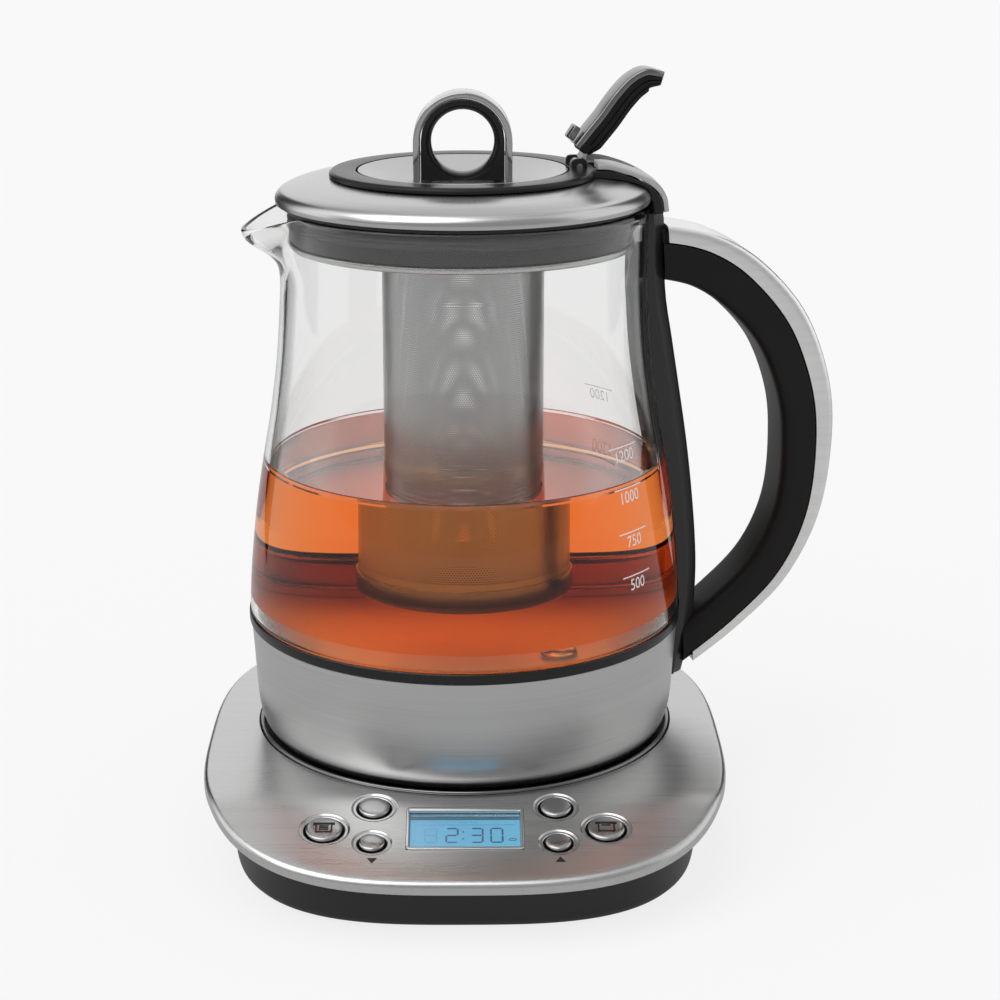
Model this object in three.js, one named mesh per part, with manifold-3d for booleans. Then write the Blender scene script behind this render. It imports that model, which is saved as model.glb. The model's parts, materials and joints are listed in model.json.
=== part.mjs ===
import * as THREE from 'three';
import { mergeVertices } from 'three/addons/utils/BufferGeometryUtils.js';
import Module from 'manifold-3d';

// Electric tea kettle: a glass jug with a steel foot, its lid with a lift-out infuser, and a heated
// cordless base with a sloping control panel. Millimetres, +Z up. The jug's axis is the Z axis of the
// modelling frame, and the viewer stands on the -Y side. Radii and heights belong to that frame, and
// the last lines move the whole model so that its box stands on the origin.

// Clearances and shared walls
const gap = 0.3;
const slideGap = 0.5;
const cutOverrun = 1;
const mergeTolerance = 0.0001;

// Facets of round work
const wideFacets = 36;
const glassFacets = 46;
const middleFacets = 24;
const smallFacets = 12;
const screwFacets = 8;

// Heights of the base and of the dock that the jug stands in
const plateTopZ = 31.4;
const dockDepth = 1.5;
const dishTopZ = plateTopZ - dockDepth;
const jugLift = 0.4;
const jugFootZ = dishTopZ + jugLift;

// Glass carafe: wall and radii of its outer profile
const glassWall = 2.3;
const glassBellyRadius = 75;
const glassFootStep = 2.8;
const glassFootRadius = glassBellyRadius - glassFootStep;
const glassShoulderStep = 13;
const glassNeckRadius = glassBellyRadius - glassShoulderStep;
const glassRimCrook = 0.5;
const glassShoulderShares = [
  [0, 0], [0.05, 0.1], [0.22, 0.29], [0.44, 0.46], [0.68, 0.62], [0.88, 0.8], [1, 1],
];

// Jug foot: steel skirt, bottom cover and black trim ring
const jugTurn = THREE.MathUtils.degToRad(8);
const jugCoverThickness = 2;
const jugCoverLap = 1.6;
const skirtWall = 1.1;
const skirtTopStep = 0.2;
const skirtTopRadius = glassBellyRadius - skirtTopStep;
const skirtWaistStep = 1.6;
const skirtFootStep = 4.2;
const skirtWaistRadius = skirtTopRadius - skirtWaistStep;
const skirtFootRadius = skirtWaistRadius - skirtFootStep;
const skirtFootRise = 0.8;
const skirtHeight = 39.1;
const skirtFootZ = jugFootZ + skirtFootRise;
const skirtTopZ = skirtFootZ + skirtHeight;
const skirtCurveShares = [[0, 0], [0.3, 0.06], [0.62, 0.2], [0.86, 0.42], [1, 0.68]];
const trimRingHeight = 3.6;
const trimRingProud = 0.5;
const trimRingWall = 1.9;
const trimRingRadius = glassBellyRadius + trimRingProud;
const trimRingTopZ = skirtTopZ + gap + trimRingHeight;

// Vessel floor: heater plate and the gasket that the glass stands on
const heaterPlateDrop = 11.6;
const heaterPlateThickness = 1.5;
const gasketHeight = 2.3;
const gasketWidth = 3;
const heaterPlateZ = skirtTopZ - heaterPlateDrop;
const heaterPlateTopZ = heaterPlateZ + heaterPlateThickness;

// Glass heights and spout
const glassFootZ = heaterPlateTopZ + gasketHeight + gap * 2;
const glassBellyRise = 3.4;
const glassShoulderHeight = 108.5;
const glassNeckHeight = 28.2;
const glassBellyZ = trimRingTopZ + glassBellyRise;
const glassNeckZ = glassBellyZ + glassShoulderHeight;
const glassRimZ = glassNeckZ + glassNeckHeight;
const spoutReach = 12.6;
const spoutDrop = 6.5;
const spoutStartRise = 4;
const spoutStartZ = glassNeckZ + spoutStartRise;
const spoutHalfAngle = THREE.MathUtils.degToRad(25);
const spoutRisePower = 1.5;
const spoutFocusShare = 0.45;
const spoutRingShares = [0.35, 0.65, 0.85];

// Heater, sensor and jug connector under the vessel floor
const elementRadius = 48;
const elementTubeRadius = 3.4;
const elementSweep = THREE.MathUtils.degToRad(310);
const elementSteps = 26;
const elementTubeFacets = 8;
const sensorRadius = 6.5;
const sensorHeight = 3.2;
const sensorStemRadius = 3;
const sensorStemLength = 8;
const sensorX = 30;
const sensorY = -22;
const thermostatRadius = 9;
const thermostatHeight = 7;
const thermostatY = 31;
const thermostatLegHeight = 13;
const socketWall = 2.4;
const socketFlangeWidth = 12.6;
const socketFlangeThickness = 2.4;
const socketHeadroom = 1.6;
const jugCoverTopZ = jugFootZ + jugCoverThickness;

// Docking well: dish, bright ring, and the connector that the jug drops onto
const dockClearance = 2.2;
const dockRadius = skirtFootRadius + dockClearance;
const dockRingWidth = 1.6;
const dockRingProud = 0.7;
const dockHoleRadius = dockRadius + dockRingWidth + gap;
const dishThickness = 2.2;
const dishLap = 1.9;
const dishRadius = dockHoleRadius + dishLap;
const dishFootZ = dishTopZ - dishThickness;
const postRadius = 14;
const postHeight = 12;
const postTopZ = dishTopZ + postHeight;
const postFlangeWidth = 7;
const postFlangeThickness = 2.5;
const postBoreRadius = 3.2;
const contactPinRadius = 2;
const contactPinRise = 2.2;
const contactRingRadius = 9.5;
const contactRingWidth = 1.4;
const contactRingRise = 0.8;
const contactGrooveDepth = 3;
const collarWall = 3;
const collarRadius = postRadius + slideGap + collarWall;
const socketInnerRadius = collarRadius + slideGap;
const socketRoofZ = postTopZ + contactPinRise + socketHeadroom;

// Base: outline round the dock, with the sloping panel in front
const baseSideMargin = 15.9;
const baseRearMargin = 10.9;
const panelMargin = 1.9;
const panelReach = 44;
const panelSlope = THREE.MathUtils.degToRad(13);
const panelStartReach = dockHoleRadius + panelMargin;
const baseHalfWidth = dockHoleRadius + baseSideMargin;
const baseRearReach = dockHoleRadius + baseRearMargin;
const baseFrontReach = panelStartReach + panelReach;
const baseOutlinePower = 3.05;
const baseOutlinePoints = 52;
const plateWall = 1.2;
const plateRimHeight = 4;
const housingInset = 10;
const housingWall = 2.2;
const housingFloor = 3;
const flangeThickness = 2;
const footClearance = 1.5;
const housingFloorZ = footClearance + housingFloor;
const housingRearY = baseRearReach - housingInset;
const footRadius = 7;
const footSeatDepth = 1.2;
const footSideInset = 27;
const footFrontInset = 33;
const footRearInset = 30;
const footSpreadX = baseHalfWidth - housingInset - footSideInset;
const footFrontReach = baseFrontReach - housingInset - footFrontInset;
const footRearReach = housingRearY - footRearInset;

// Base: posts, boards and what they carry
const dishPostSpreadX = 46;
const dishPostSpreadY = 42;
const dishPostRadius = 4;
const powerBoardLength = 76;
const powerBoardWidth = 40;
const powerBoardCentreY = 32;
const boardThickness = 1.6;
const boardRise = 5;
const boardZ = housingFloorZ + boardRise;
const boardPostRadius = 2.6;
const boardPostShare = 0.38;
const relayLength = 19;
const relayWidth = 15;
const relayHeight = 13;
const relayShiftShare = 0.29;
const relayShiftX = powerBoardLength * relayShiftShare;
const buzzerRadius = 6;
const buzzerHeight = 5;
const buzzerShiftShare = -0.184;
const buzzerShiftX = powerBoardLength * buzzerShiftShare;
const glandRadius = 6;
const glandLength = 9;
const glandBoreRadius = 3.6;
const glandFlangeRadius = 8;
const glandFlangeThickness = 2;
const glandCentreZ = 13;

// Control panel, in the panel's own plane: x across, y up the slope from where it starts
const lcdWidthShare = 0.427;
const lcdWidth = baseHalfWidth * lcdWidthShare;
const lcdDepth = 20.7;
const lcdCentreY = -17.6;
const lcdFrameWidth = 1.1;
const lcdFrameHeight = 4;
const lcdFrameProud = 0.5;
const lcdWindowThickness = 1.2;
const lcdWindowSink = 0.6;
const lcdModuleThickness = 4.5;
const outerButtonShare = 0.509;
const outerButtonX = baseHalfWidth * outerButtonShare;
const outerButtonY = -17;
const outerButtonRadius = 6.7;
const upperButtonShare = 0.3315;
const upperButtonX = baseHalfWidth * upperButtonShare;
const upperButtonY = -5.6;
const upperButtonRadius = 5.8;
const lowerButtonShare = 0.3337;
const lowerButtonX = baseHalfWidth * lowerButtonShare;
const lowerButtonY = -24;
const lowerButtonRadius = 4.9;
const buttonProud = 0.9;
const buttonCrown = 0.5;
const buttonSkirt = 3.6;
const buttonFlangeWidth = 0.8;
const buttonFlangeThickness = 0.8;
const buttonTravel = 1.2;
const buttonStemRadius = 1.8;
const matThickness = 1;
const matDomeRadius = 3.4;
const matDomeHeight = 3.2;
const guideThickness = 1.6;
const guideDrop = 6;
const guideEndMargin = 4;
const guideHalfLength = outerButtonX + outerButtonRadius + guideEndMargin;
const guideFrontY = -31;
const guideRearY = 1.5;
const guideLegInset = 1.3;
const guideLegX = outerButtonX - guideLegInset;
const controlBoardDrop = 12.2;
const controlPostStep = 6.5;
const controlPostX = upperButtonX + controlPostStep;
const controlPostFrontY = -26;

// Handle: spine along the glass, grip and its steel cover
const spineHalfWidth = 12;
const spineDepth = 9;
const spineFootDepth = 6.8;
const spineFootDrop = 24.2;
const spineTopDrop = 4.6;
const spineFootZ = skirtTopZ - spineFootDrop;
const spineTopZ = glassRimZ - spineTopDrop;
const gripRootStep = 4;
const gripFootStep = 3.6;
const gripEndReach = 9;
const gripEndDrop = 6;
const gripReach = 44.9;
const gripHighDrop = 12.6;
const gripLowRise = 9;
const gripRootRadius = glassNeckRadius + gripRootStep;
const gripFootRadius = skirtWaistRadius + gripFootStep;
const gripFarRadius = glassBellyRadius + gripReach;
const gripHighZ = spineTopZ - gripHighDrop;
const gripLowZ = spineFootZ + gripLowRise;
const gripThickness = 21.4;
const gripHalfWidth = 12.4;
const gripSteps = 26;
const gripPathShares = [
  [0, 1], [0.287, 0.977], [0.543, 0.917], [0.802, 0.803], [0.96, 0.655],
  [1, 0.507], [0.945, 0.345], [0.744, 0.204], [0.389, 0.09], [0, 0],
];
const coverDepth = 8.4;
const coverWall = 1.5;
const coverEdgeRounding = 0.5;
const coverStartStep = 12.5;
const coverStartRadius = glassNeckRadius + coverStartStep;

// Infuser and its cap, and the opening in the lid that they drop into
const basketRadius = 27.5;
const basketWall = 0.7;
const basketFootRise = 20.7;
const basketFootZ = heaterPlateTopZ + basketFootRise;
const basketFootHeight = 8;
const basketFootWall = 0.8;
const basketFootRadius = basketRadius + gap + basketFootWall;
const basketRimThickness = 1.4;
const basketSleeveHeight = 6;
const basketSleeveWall = 0.6;
const capRimWidth = 7.8;
const capRadius = basketRadius + capRimWidth;
const capRimLap = 0.7;
const basketRimRadius = capRadius - capRimLap;
const plugBoreClearance = 0.6;
const plugBoreWall = 1.6;
const plugBoreRadius = basketFootRadius + plugBoreClearance;

// Lid: plug and seal in the glass neck, steel dome, and black ring
const plugClearance = 0.9;
const plugRadius = glassNeckRadius - glassWall - plugClearance;
const plugStepWidth = 1.6;
const plugLowRadius = plugRadius - plugStepWidth;
const plugRimWall = 4;
const plugFloor = 2;
const plugTopZ = glassRimZ + glassRimCrook + gap;
const plugFlangeThickness = 0.7;
const plugStepDrop = 6.4;
const plugDepth = 11.4;
const plugStepZ = plugTopZ - plugStepDrop;
const plugFootZ = plugTopZ - plugDepth;
const sealRadius = glassNeckRadius - glassWall - slideGap;
const sealHeight = 2.4;
const sealDepth = 1.4;
const sealDrop = 4.4;
const sealZ = plugTopZ - sealDrop;
const clampRingHeight = 2;
const clampRingLap = 0.6;
const clampRingRadius = plugLowRadius + clampRingLap;
const clampRingWidth = 9;
const domeOverhang = 1.8;
const domeRimRadius = glassNeckRadius + domeOverhang;
const domeRimZ = plugTopZ + plugFlangeThickness + gap;
const domeRise = 8.2;
const domeCrownZ = domeRimZ + domeRise;
const domeWall = 1;
const domeHoleStep = 4.7;
const domeHoleRadius = capRadius + domeHoleStep;
const domeCrownStep = 4;
const domeCrownRadius = domeHoleRadius + domeCrownStep;
const domeCurveShares = [
  [1, 0.02], [1.005, 0.2], [0.97, 0.38], [0.86, 0.58], [0.62, 0.79], [0.3, 0.93], [0, 1],
];
const domeHemShare = 0.3;
const domeHemWidth = 2.2;
const ringLap = 0.8;
const ringOuterRadius = domeCrownRadius + ringLap;
const ringInnerRadius = capRadius + slideGap;
const ringRise = 2.2;
const ringCrownZ = domeCrownZ + ringRise;
const ringLedgeStep = 0.8;
const ringLedgeRadius = plugBoreRadius + ringLedgeStep;
const ringLedgeDrop = 6.2;
const ringLedgeZ = ringCrownZ - ringLedgeDrop;
const ringLedgeThickness = 3.2;
const ringFootZ = ringLedgeZ - ringLedgeThickness;

// Lid tail and hood: a band that runs from the ring over the rim to the handle
const tailThickness = 3;
const tailHalfWidth = 15;
const hoodThickness = 2.6;
const hoodHalfWidth = 13.8;
const hoodCrown = 1.2;
const hoodShoulderShare = 0.25;
const tailRootStep = 3;
const tailEndStep = 6.1;
const tailRise = 3;
const tailDrop = 3.6;
const tailRootRadius = domeHoleRadius - tailRootStep;
const tailEndRadius = domeRimRadius + tailEndStep;
const tailHighZ = ringCrownZ + tailRise;
const tailLowZ = domeRimZ - tailDrop;
const tailSteps = 14;
const tailPathShares = [
  [0.02, 0.985], [0.3, 1], [0.52, 0.9], [0.72, 0.745], [0.88, 0.54], [0.97, 0.3], [1, 0],
];
const hoodStartStep = 1.4;
const hoodStartRadius = ringOuterRadius - hoodStartStep;

// Lever: pivot at the edge of the infuser's cap
const leverPivotStep = 3.3;
const leverPivotRise = 0.4;
const leverPivotRadius = capRadius + leverPivotStep;
const leverPivotZ = ringCrownZ + leverPivotRise;
const leverPinRadius = 1.1;
const leverPinHalfLength = 6.4;
const leverBarrelRadius = 2.1;
const leverBarrelHalfWidth = 3.8;
const leverEarThickness = 2;
const leverEarHeight = 2.6;
const leverEarRadius = 2.6;
const leverHalfWidth = 6;
const leverTopThickness = 2.6;
const leverPadThickness = 5.4;
const leverSteps = 14;
const leverFootReach = 1.6;
const leverFootRise = 11.4;
const leverTipReach = 27.6;
const leverTipRise = 32.8;
const leverFootX = leverPivotRadius + leverFootReach;
const leverFootZ = leverPivotZ + leverFootRise;
const leverTipX = leverPivotRadius + leverTipReach;
const leverTipZ = leverPivotZ + leverTipRise;
const leverPathShares = [[-0.06, -0.06], [0.16, 0.25], [0.34, 0.6], [0.52, 0.86], [0.74, 0.99], [1, 0.97]];
const leverFold = THREE.MathUtils.degToRad(50);
const tongueThickness = 1.2;

// Cap of the infuser: dished disc with a loop to lift it by
const capSink = 0.1;
const capTopZ = ringCrownZ - capSink;
const capThickness = 1.4;
const capDishDepth = 3.4;
const capSlopeWidth = 15.3;
const capDishRadius = capRadius - capSlopeWidth;
const capSealWidth = 1.6;
const capSealHeight = 4.4;
const loopEdgeStep = 3.5;
const loopHalfWidth = capDishRadius - loopEdgeStep;
const loopRise = 25.9;
const loopTopZ = capTopZ + loopRise;
const loopArmWidth = 6;
const loopHoleRadius = loopHalfWidth - loopArmWidth;
const loopBandThickness = 2.3;
const loopHalfDepth = 7;
const loopCoreInset = 1.4;
const loopSegments = 14;
const loopScrewInset = 4.9;
const loopScrewX = loopHalfWidth - loopScrewInset;
const loopScrewLength = 5.5;
const screwShankRadius = 1.4;
const screwHeadRadius = 2.8;
const screwHeadHeight = 1.8;
const screwBoreRadius = 1.7;

const wasm = await Module();
wasm.setup();

const kettle = new THREE.Group();
const assembly = new THREE.Group();
const baseGroup = new THREE.Group();
const panelGroup = new THREE.Group();
const jugGroup = new THREE.Group();
kettle.add(assembly);
assembly.add(baseGroup, jugGroup);
baseGroup.add(panelGroup);
panelGroup.position.set(0, -panelStartReach, plateTopZ);
panelGroup.rotation.x = panelSlope;
jugGroup.rotation.z = jugTurn;
panelGroup.updateMatrix();

function finish(color, roughness, metalness) {
  return new THREE.MeshStandardMaterial({ color, roughness, metalness });
}

function steel() {
  return finish(0xb9bbbd, 0.34, 1);
}

function chrome() {
  return finish(0xd9dadc, 0.12, 1);
}

function blackPlastic() {
  return finish(0x1c1c1d, 0.42, 0);
}

function greyPlastic() {
  return finish(0x303133, 0.5, 0);
}

function rubber() {
  return finish(0x232323, 0.85, 0);
}

function brass() {
  return finish(0xc7a252, 0.35, 1);
}

function clearGlass() {
  const glass = finish(0xeef3f4, 0.05, 0);
  glass.transparent = true;
  glass.opacity = 0.3;
  return glass;
}

// A closed solid from a geometry: shared corners merged, slivers dropped, faces turned outwards
function solid(geometry) {
  const bare = new THREE.BufferGeometry();
  bare.setAttribute('position', geometry.getAttribute('position'));
  bare.setIndex(geometry.getIndex());
  const merged = mergeVertices(bare, mergeTolerance);
  const places = merged.getAttribute('position');
  const index = merged.getIndex().array;
  const corners = [new THREE.Vector3(), new THREE.Vector3(), new THREE.Vector3()];
  const triangles = [];
  let volume = 0;
  for (let i = 0; i < index.length; i += 3) {
    const [a, b, c] = [index[i], index[i + 1], index[i + 2]];
    if (a === b || b === c || c === a) continue;
    triangles.push([a, b, c]);
    corners[0].fromBufferAttribute(places, a);
    corners[1].fromBufferAttribute(places, b);
    corners[2].fromBufferAttribute(places, c);
    volume += corners[0].dot(corners[1].cross(corners[2]));
  }
  if (volume < 0) triangles.forEach((triangle) => triangle.reverse());
  return new wasm.Manifold(new wasm.Mesh({
    numProp: 3,
    vertProperties: new Float32Array(places.array),
    triVerts: new Uint32Array(triangles.flat()),
  }));
}

function addPart(group, name, body, material) {
  const { vertProperties, triVerts } = body.getMesh();
  const geometry = new THREE.BufferGeometry();
  geometry.setAttribute('position', new THREE.BufferAttribute(vertProperties, 3));
  geometry.setIndex(new THREE.BufferAttribute(triVerts, 1));
  geometry.computeVertexNormals();
  const mesh = new THREE.Mesh(geometry, material);
  mesh.name = name;
  group.add(mesh);
  return mesh;
}

function unite(solids) {
  return solids.reduce((sum, next) => sum.add(next));
}

// Turned work: a profile of [radius, height] points, revolved about the Z axis
function turnedGeometry(profile, facets) {
  const points = profile.map(([radius, height]) => new THREE.Vector2(radius, height));
  const first = profile[0];
  const last = profile[profile.length - 1];
  if (first[0] > 0 || last[0] > 0) points.push(new THREE.Vector2(first[0], first[1]));
  return new THREE.LatheGeometry(points, facets).rotateX(Math.PI / 2);
}

function turned(profile, facets) {
  return solid(turnedGeometry(profile, facets));
}

function tube(innerRadius, outerRadius, lowZ, highZ, facets) {
  const section = [[innerRadius, lowZ], [outerRadius, lowZ], [outerRadius, highZ], [innerRadius, highZ]];
  return turned(section, facets);
}

function rod(radius, lowZ, highZ, facets, x = 0, y = 0) {
  const geometry = turnedGeometry([[0, lowZ], [radius, lowZ], [radius, highZ], [0, highZ]], facets);
  return solid(geometry.translate(x, y, 0));
}

// A bar along Y, for pins and barrels of the lever
function crossRod(radius, halfLength, x, z, facets) {
  const geometry = new THREE.CylinderGeometry(radius, radius, halfLength * 2, facets);
  return solid(geometry.translate(x, 0, z));
}

function block(lowX, highX, lowY, highY, lowZ, highZ) {
  const geometry = new THREE.BoxGeometry(highX - lowX, highY - lowY, highZ - lowZ);
  return solid(geometry.translate((lowX + highX) / 2, (lowY + highY) / 2, (lowZ + highZ) / 2));
}

// A side outline of [radius, height] points, given width across the handle's plane
function sideSlab(outline, halfWidth) {
  const shape = new THREE.Shape(outline.map(([x, z]) => new THREE.Vector2(x, z)));
  const geometry = new THREE.ExtrudeGeometry(shape, { depth: halfWidth * 2, bevelEnabled: false });
  return solid(geometry.rotateX(Math.PI / 2).translate(0, halfWidth, 0));
}

// The same outline, given length along X: for the base's side profile, [y, z] points
function longSlab(outline, halfLength) {
  const shape = new THREE.Shape(outline.map(([y, z]) => new THREE.Vector2(y, z)));
  const geometry = new THREE.ExtrudeGeometry(shape, { depth: halfLength * 2, bevelEnabled: false });
  geometry.rotateX(Math.PI / 2).rotateZ(Math.PI / 2).translate(-halfLength, 0, 0);
  return solid(geometry);
}

function splineFrom(shares, lowX, highX, lowZ, highZ) {
  return new THREE.SplineCurve(shares.map(([across, up]) => new THREE.Vector2(
    THREE.MathUtils.lerp(lowX, highX, across),
    THREE.MathUtils.lerp(lowZ, highZ, up),
  )));
}

// A band beside a plane curve, between two distances to the right of its direction of travel
function bandOutline(curve, near, far, steps) {
  const nearSide = [];
  const farSide = [];
  for (let i = 0; i <= steps; i += 1) {
    const place = curve.getPointAt(i / steps);
    const along = curve.getTangentAt(i / steps);
    nearSide.push([place.x + along.y * near, place.y - along.x * near]);
    farSide.push([place.x + along.y * far, place.y - along.x * far]);
  }
  return [...nearSide, ...farSide.reverse()];
}

// A section of [across, outward] points, swept along a curve in the handle's plane
function sweptSection(section, curve, steps) {
  const places = curve.getSpacedPoints(steps).map((place) => new THREE.Vector3(place.x, 0, place.y));
  const path = new THREE.CatmullRomCurve3(places);
  const shape = new THREE.Shape(section.map(([across, outward]) => new THREE.Vector2(across, -outward)));
  return solid(new THREE.ExtrudeGeometry(shape, { steps, extrudePath: path, bevelEnabled: false }));
}

// Base outline: a rounded rectangle that swells like a superellipse, drawn in by an inset
function baseOutline(inset) {
  const centreY = (baseRearReach - baseFrontReach) / 2;
  const halfWidth = baseHalfWidth - inset;
  const halfDepth = (baseRearReach + baseFrontReach) / 2 - inset;
  const points = [];
  for (let i = 0; i < baseOutlinePoints; i += 1) {
    const angle = (i / baseOutlinePoints) * Math.PI * 2;
    const [c, s] = [Math.cos(angle), Math.sin(angle)];
    const sum = Math.abs(c) ** baseOutlinePower + Math.abs(s) ** baseOutlinePower;
    const share = sum ** (-1 / baseOutlinePower);
    points.push(new THREE.Vector2(halfWidth * c * share, centreY + halfDepth * s * share));
  }
  return new THREE.Shape(points);
}

function basePrism(inset, lowZ, highZ) {
  const options = { depth: highZ - lowZ, bevelEnabled: false };
  return solid(new THREE.ExtrudeGeometry(baseOutline(inset), options).translate(0, 0, lowZ));
}

// What lies under the plate's top surface, lowered by a drop: flat behind, sloping down in front
function underPlate(drop) {
  const rear = baseRearReach + cutOverrun;
  const front = baseFrontReach + cutOverrun;
  const topZ = plateTopZ - drop;
  const frontZ = topZ - (front - panelStartReach) * Math.tan(panelSlope);
  const floorZ = -cutOverrun;
  const outline = [
    [rear, floorZ], [rear, topZ], [-panelStartReach, topZ], [-front, frontZ], [-front, floorZ],
  ];
  return longSlab(outline, baseHalfWidth + cutOverrun);
}

// Solids given in the panel's own plane, placed in the base's frame
function panelPlace(geometry) {
  return solid(geometry.applyMatrix4(panelGroup.matrix));
}

function panelRod(radius, lowZ, highZ, facets, x, y) {
  const profile = [[0, lowZ], [radius, lowZ], [radius, highZ], [0, highZ]];
  return panelPlace(turnedGeometry(profile, facets).translate(x, y, 0));
}

function panelBlock(halfLength, lowY, highY, lowZ, highZ) {
  const geometry = new THREE.BoxGeometry(halfLength * 2, highY - lowY, highZ - lowZ);
  return panelPlace(geometry.translate(0, (lowY + highY) / 2, (lowZ + highZ) / 2));
}

const panelButtons = [
  { name: 'button_boil', x: -outerButtonX, y: outerButtonY, radius: outerButtonRadius },
  { name: 'button_time', x: -upperButtonX, y: upperButtonY, radius: upperButtonRadius },
  { name: 'button_down', x: -lowerButtonX, y: lowerButtonY, radius: lowerButtonRadius },
  { name: 'button_menu', x: upperButtonX, y: upperButtonY, radius: upperButtonRadius },
  { name: 'button_up', x: lowerButtonX, y: lowerButtonY, radius: lowerButtonRadius },
  { name: 'button_start', x: outerButtonX, y: outerButtonY, radius: outerButtonRadius },
];

const footPlaces = [
  [-footSpreadX, -footFrontReach], [footSpreadX, -footFrontReach],
  [-footSpreadX, footRearReach], [footSpreadX, footRearReach],
];
const dishPostPlaces = [
  [-dishPostSpreadX, -dishPostSpreadY], [dishPostSpreadX, -dishPostSpreadY],
  [-dishPostSpreadX, dishPostSpreadY], [dishPostSpreadX, dishPostSpreadY],
];

function addTopPlate() {
  const outer = basePrism(0, 0, plateTopZ + cutOverrun).intersect(underPlate(0));
  const belowRim = underPlate(plateRimHeight);
  const cavity = basePrism(plateWall, -cutOverrun, plateTopZ + cutOverrun).intersect(underPlate(plateWall));
  let plate = outer.subtract(belowRim).subtract(cavity);
  plate = plate.subtract(rod(dockHoleRadius, 0, plateTopZ + cutOverrun, wideFacets));
  const depth = plateRimHeight;
  panelButtons.forEach(({ x, y, radius }) => {
    const hole = new THREE.CylinderGeometry(radius, radius, depth, middleFacets).rotateX(Math.PI / 2);
    plate = plate.subtract(panelPlace(hole.translate(x, y, 0)));
  });
  const screen = new THREE.BoxGeometry(lcdWidth, lcdDepth, depth).translate(0, lcdCentreY, 0);
  addPart(baseGroup, 'base_top_plate', plate.subtract(panelPlace(screen)), steel());
}

function dishPost(x, y) {
  return rod(dishPostRadius, footClearance + housingFloor / 2, dishFootZ - gap, smallFacets, x, y);
}

function addHousing() {
  const rimFloor = plateRimHeight - flangeThickness;
  const shell = basePrism(housingInset, footClearance, plateTopZ).intersect(underPlate(rimFloor));
  const room = basePrism(housingInset + housingWall, housingFloorZ, plateTopZ + cutOverrun);
  const flange = basePrism(plateWall + gap, 0, plateTopZ).intersect(underPlate(rimFloor));
  const lip = flange.subtract(underPlate(plateRimHeight));
  let housing = shell.add(lip).subtract(room);
  housing = housing.add(unite(dishPostPlaces.map(([x, y]) => dishPost(x, y))));
  footPlaces.forEach(([x, y]) => {
    housing = housing.subtract(rod(footRadius + gap, 0, footClearance + footSeatDepth, smallFacets, x, y));
  });
  [-1, 1].forEach((side) => {
    [-1, 1].forEach((end) => {
      const x = side * powerBoardLength * boardPostShare;
      const y = powerBoardCentreY + end * powerBoardWidth * boardPostShare;
      const post = rod(boardPostRadius, housingFloorZ - cutOverrun, boardZ - gap, screwFacets, x, y);
      housing = housing.add(post);
    });
  });
  const boardDrop = controlBoardDrop + boardThickness + gap;
  [-1, 1].forEach((side) => {
    [controlPostFrontY, guideRearY - boardPostRadius].forEach((slopeY) => {
      const y = slopeY * Math.cos(panelSlope) - panelStartReach;
      const x = side * controlPostX;
      const post = rod(boardPostRadius, housingFloorZ - cutOverrun, plateTopZ, screwFacets, x, y);
      housing = housing.add(post.intersect(underPlate(boardDrop / Math.cos(panelSlope))));
    });
  });
  housing = housing.subtract(rod(dishRadius + gap, dishFootZ - gap, plateTopZ, wideFacets));
  const cordHoleRadius = glandRadius + gap;
  const cordHole = new THREE.CylinderGeometry(cordHoleRadius, cordHoleRadius, housingInset, smallFacets);
  housing = housing.subtract(solid(cordHole.translate(0, housingRearY, glandCentreZ)));
  addPart(baseGroup, 'base_housing', housing, greyPlastic());
}

function addFeet() {
  footPlaces.forEach(([x, y], i) => {
    const foot = rod(footRadius, 0, footClearance + footSeatDepth - gap, smallFacets, x, y);
    addPart(baseGroup, `rubber_foot_${i + 1}`, foot, rubber());
  });
}

function addDock() {
  const dish = tube(postRadius + gap, dishRadius, dishFootZ, dishTopZ, wideFacets);
  addPart(baseGroup, 'docking_dish', dish, blackPlastic());
  const ringTopZ = plateTopZ + dockRingProud;
  const ring = tube(dockRadius, dockRadius + dockRingWidth, dishTopZ + gap, ringTopZ, wideFacets);
  addPart(baseGroup, 'docking_ring', ring, chrome());
  const flangeZ = dishFootZ - gap - postFlangeThickness;
  const flangeRadius = postRadius + postFlangeWidth;
  const grooveZ = postTopZ - contactGrooveDepth;
  const grooveInner = contactRingRadius - contactRingWidth / 2 - gap;
  const grooveOuter = contactRingRadius + contactRingWidth / 2 + gap;
  const post = turned([
    [postBoreRadius, flangeZ], [flangeRadius, flangeZ], [flangeRadius, dishFootZ - gap],
    [postRadius, dishFootZ - gap], [postRadius, postTopZ], [grooveOuter, postTopZ], [grooveOuter, grooveZ],
    [grooveInner, grooveZ], [grooveInner, postTopZ], [postBoreRadius, postTopZ],
  ], middleFacets);
  addPart(baseGroup, 'connector_post', post, blackPlastic());
  const ringLow = grooveZ + gap;
  const ringHigh = postTopZ + contactRingRise;
  const ringContact = tube(grooveInner + gap, grooveOuter - gap, ringLow, ringHigh, middleFacets);
  const pin = rod(contactPinRadius, flangeZ, postTopZ + contactPinRise, smallFacets);
  const pinCollar = rod(postBoreRadius - gap, flangeZ, flangeZ + postFlangeThickness, smallFacets);
  addPart(baseGroup, 'contact_ring', ringContact, brass());
  addPart(baseGroup, 'contact_pin', pin.add(pinCollar), brass());
  const collar = tube(postRadius + slideGap, collarRadius, dishTopZ + gap, postTopZ, middleFacets);
  addPart(assembly, 'connector_collar', collar, greyPlastic());
}

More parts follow.
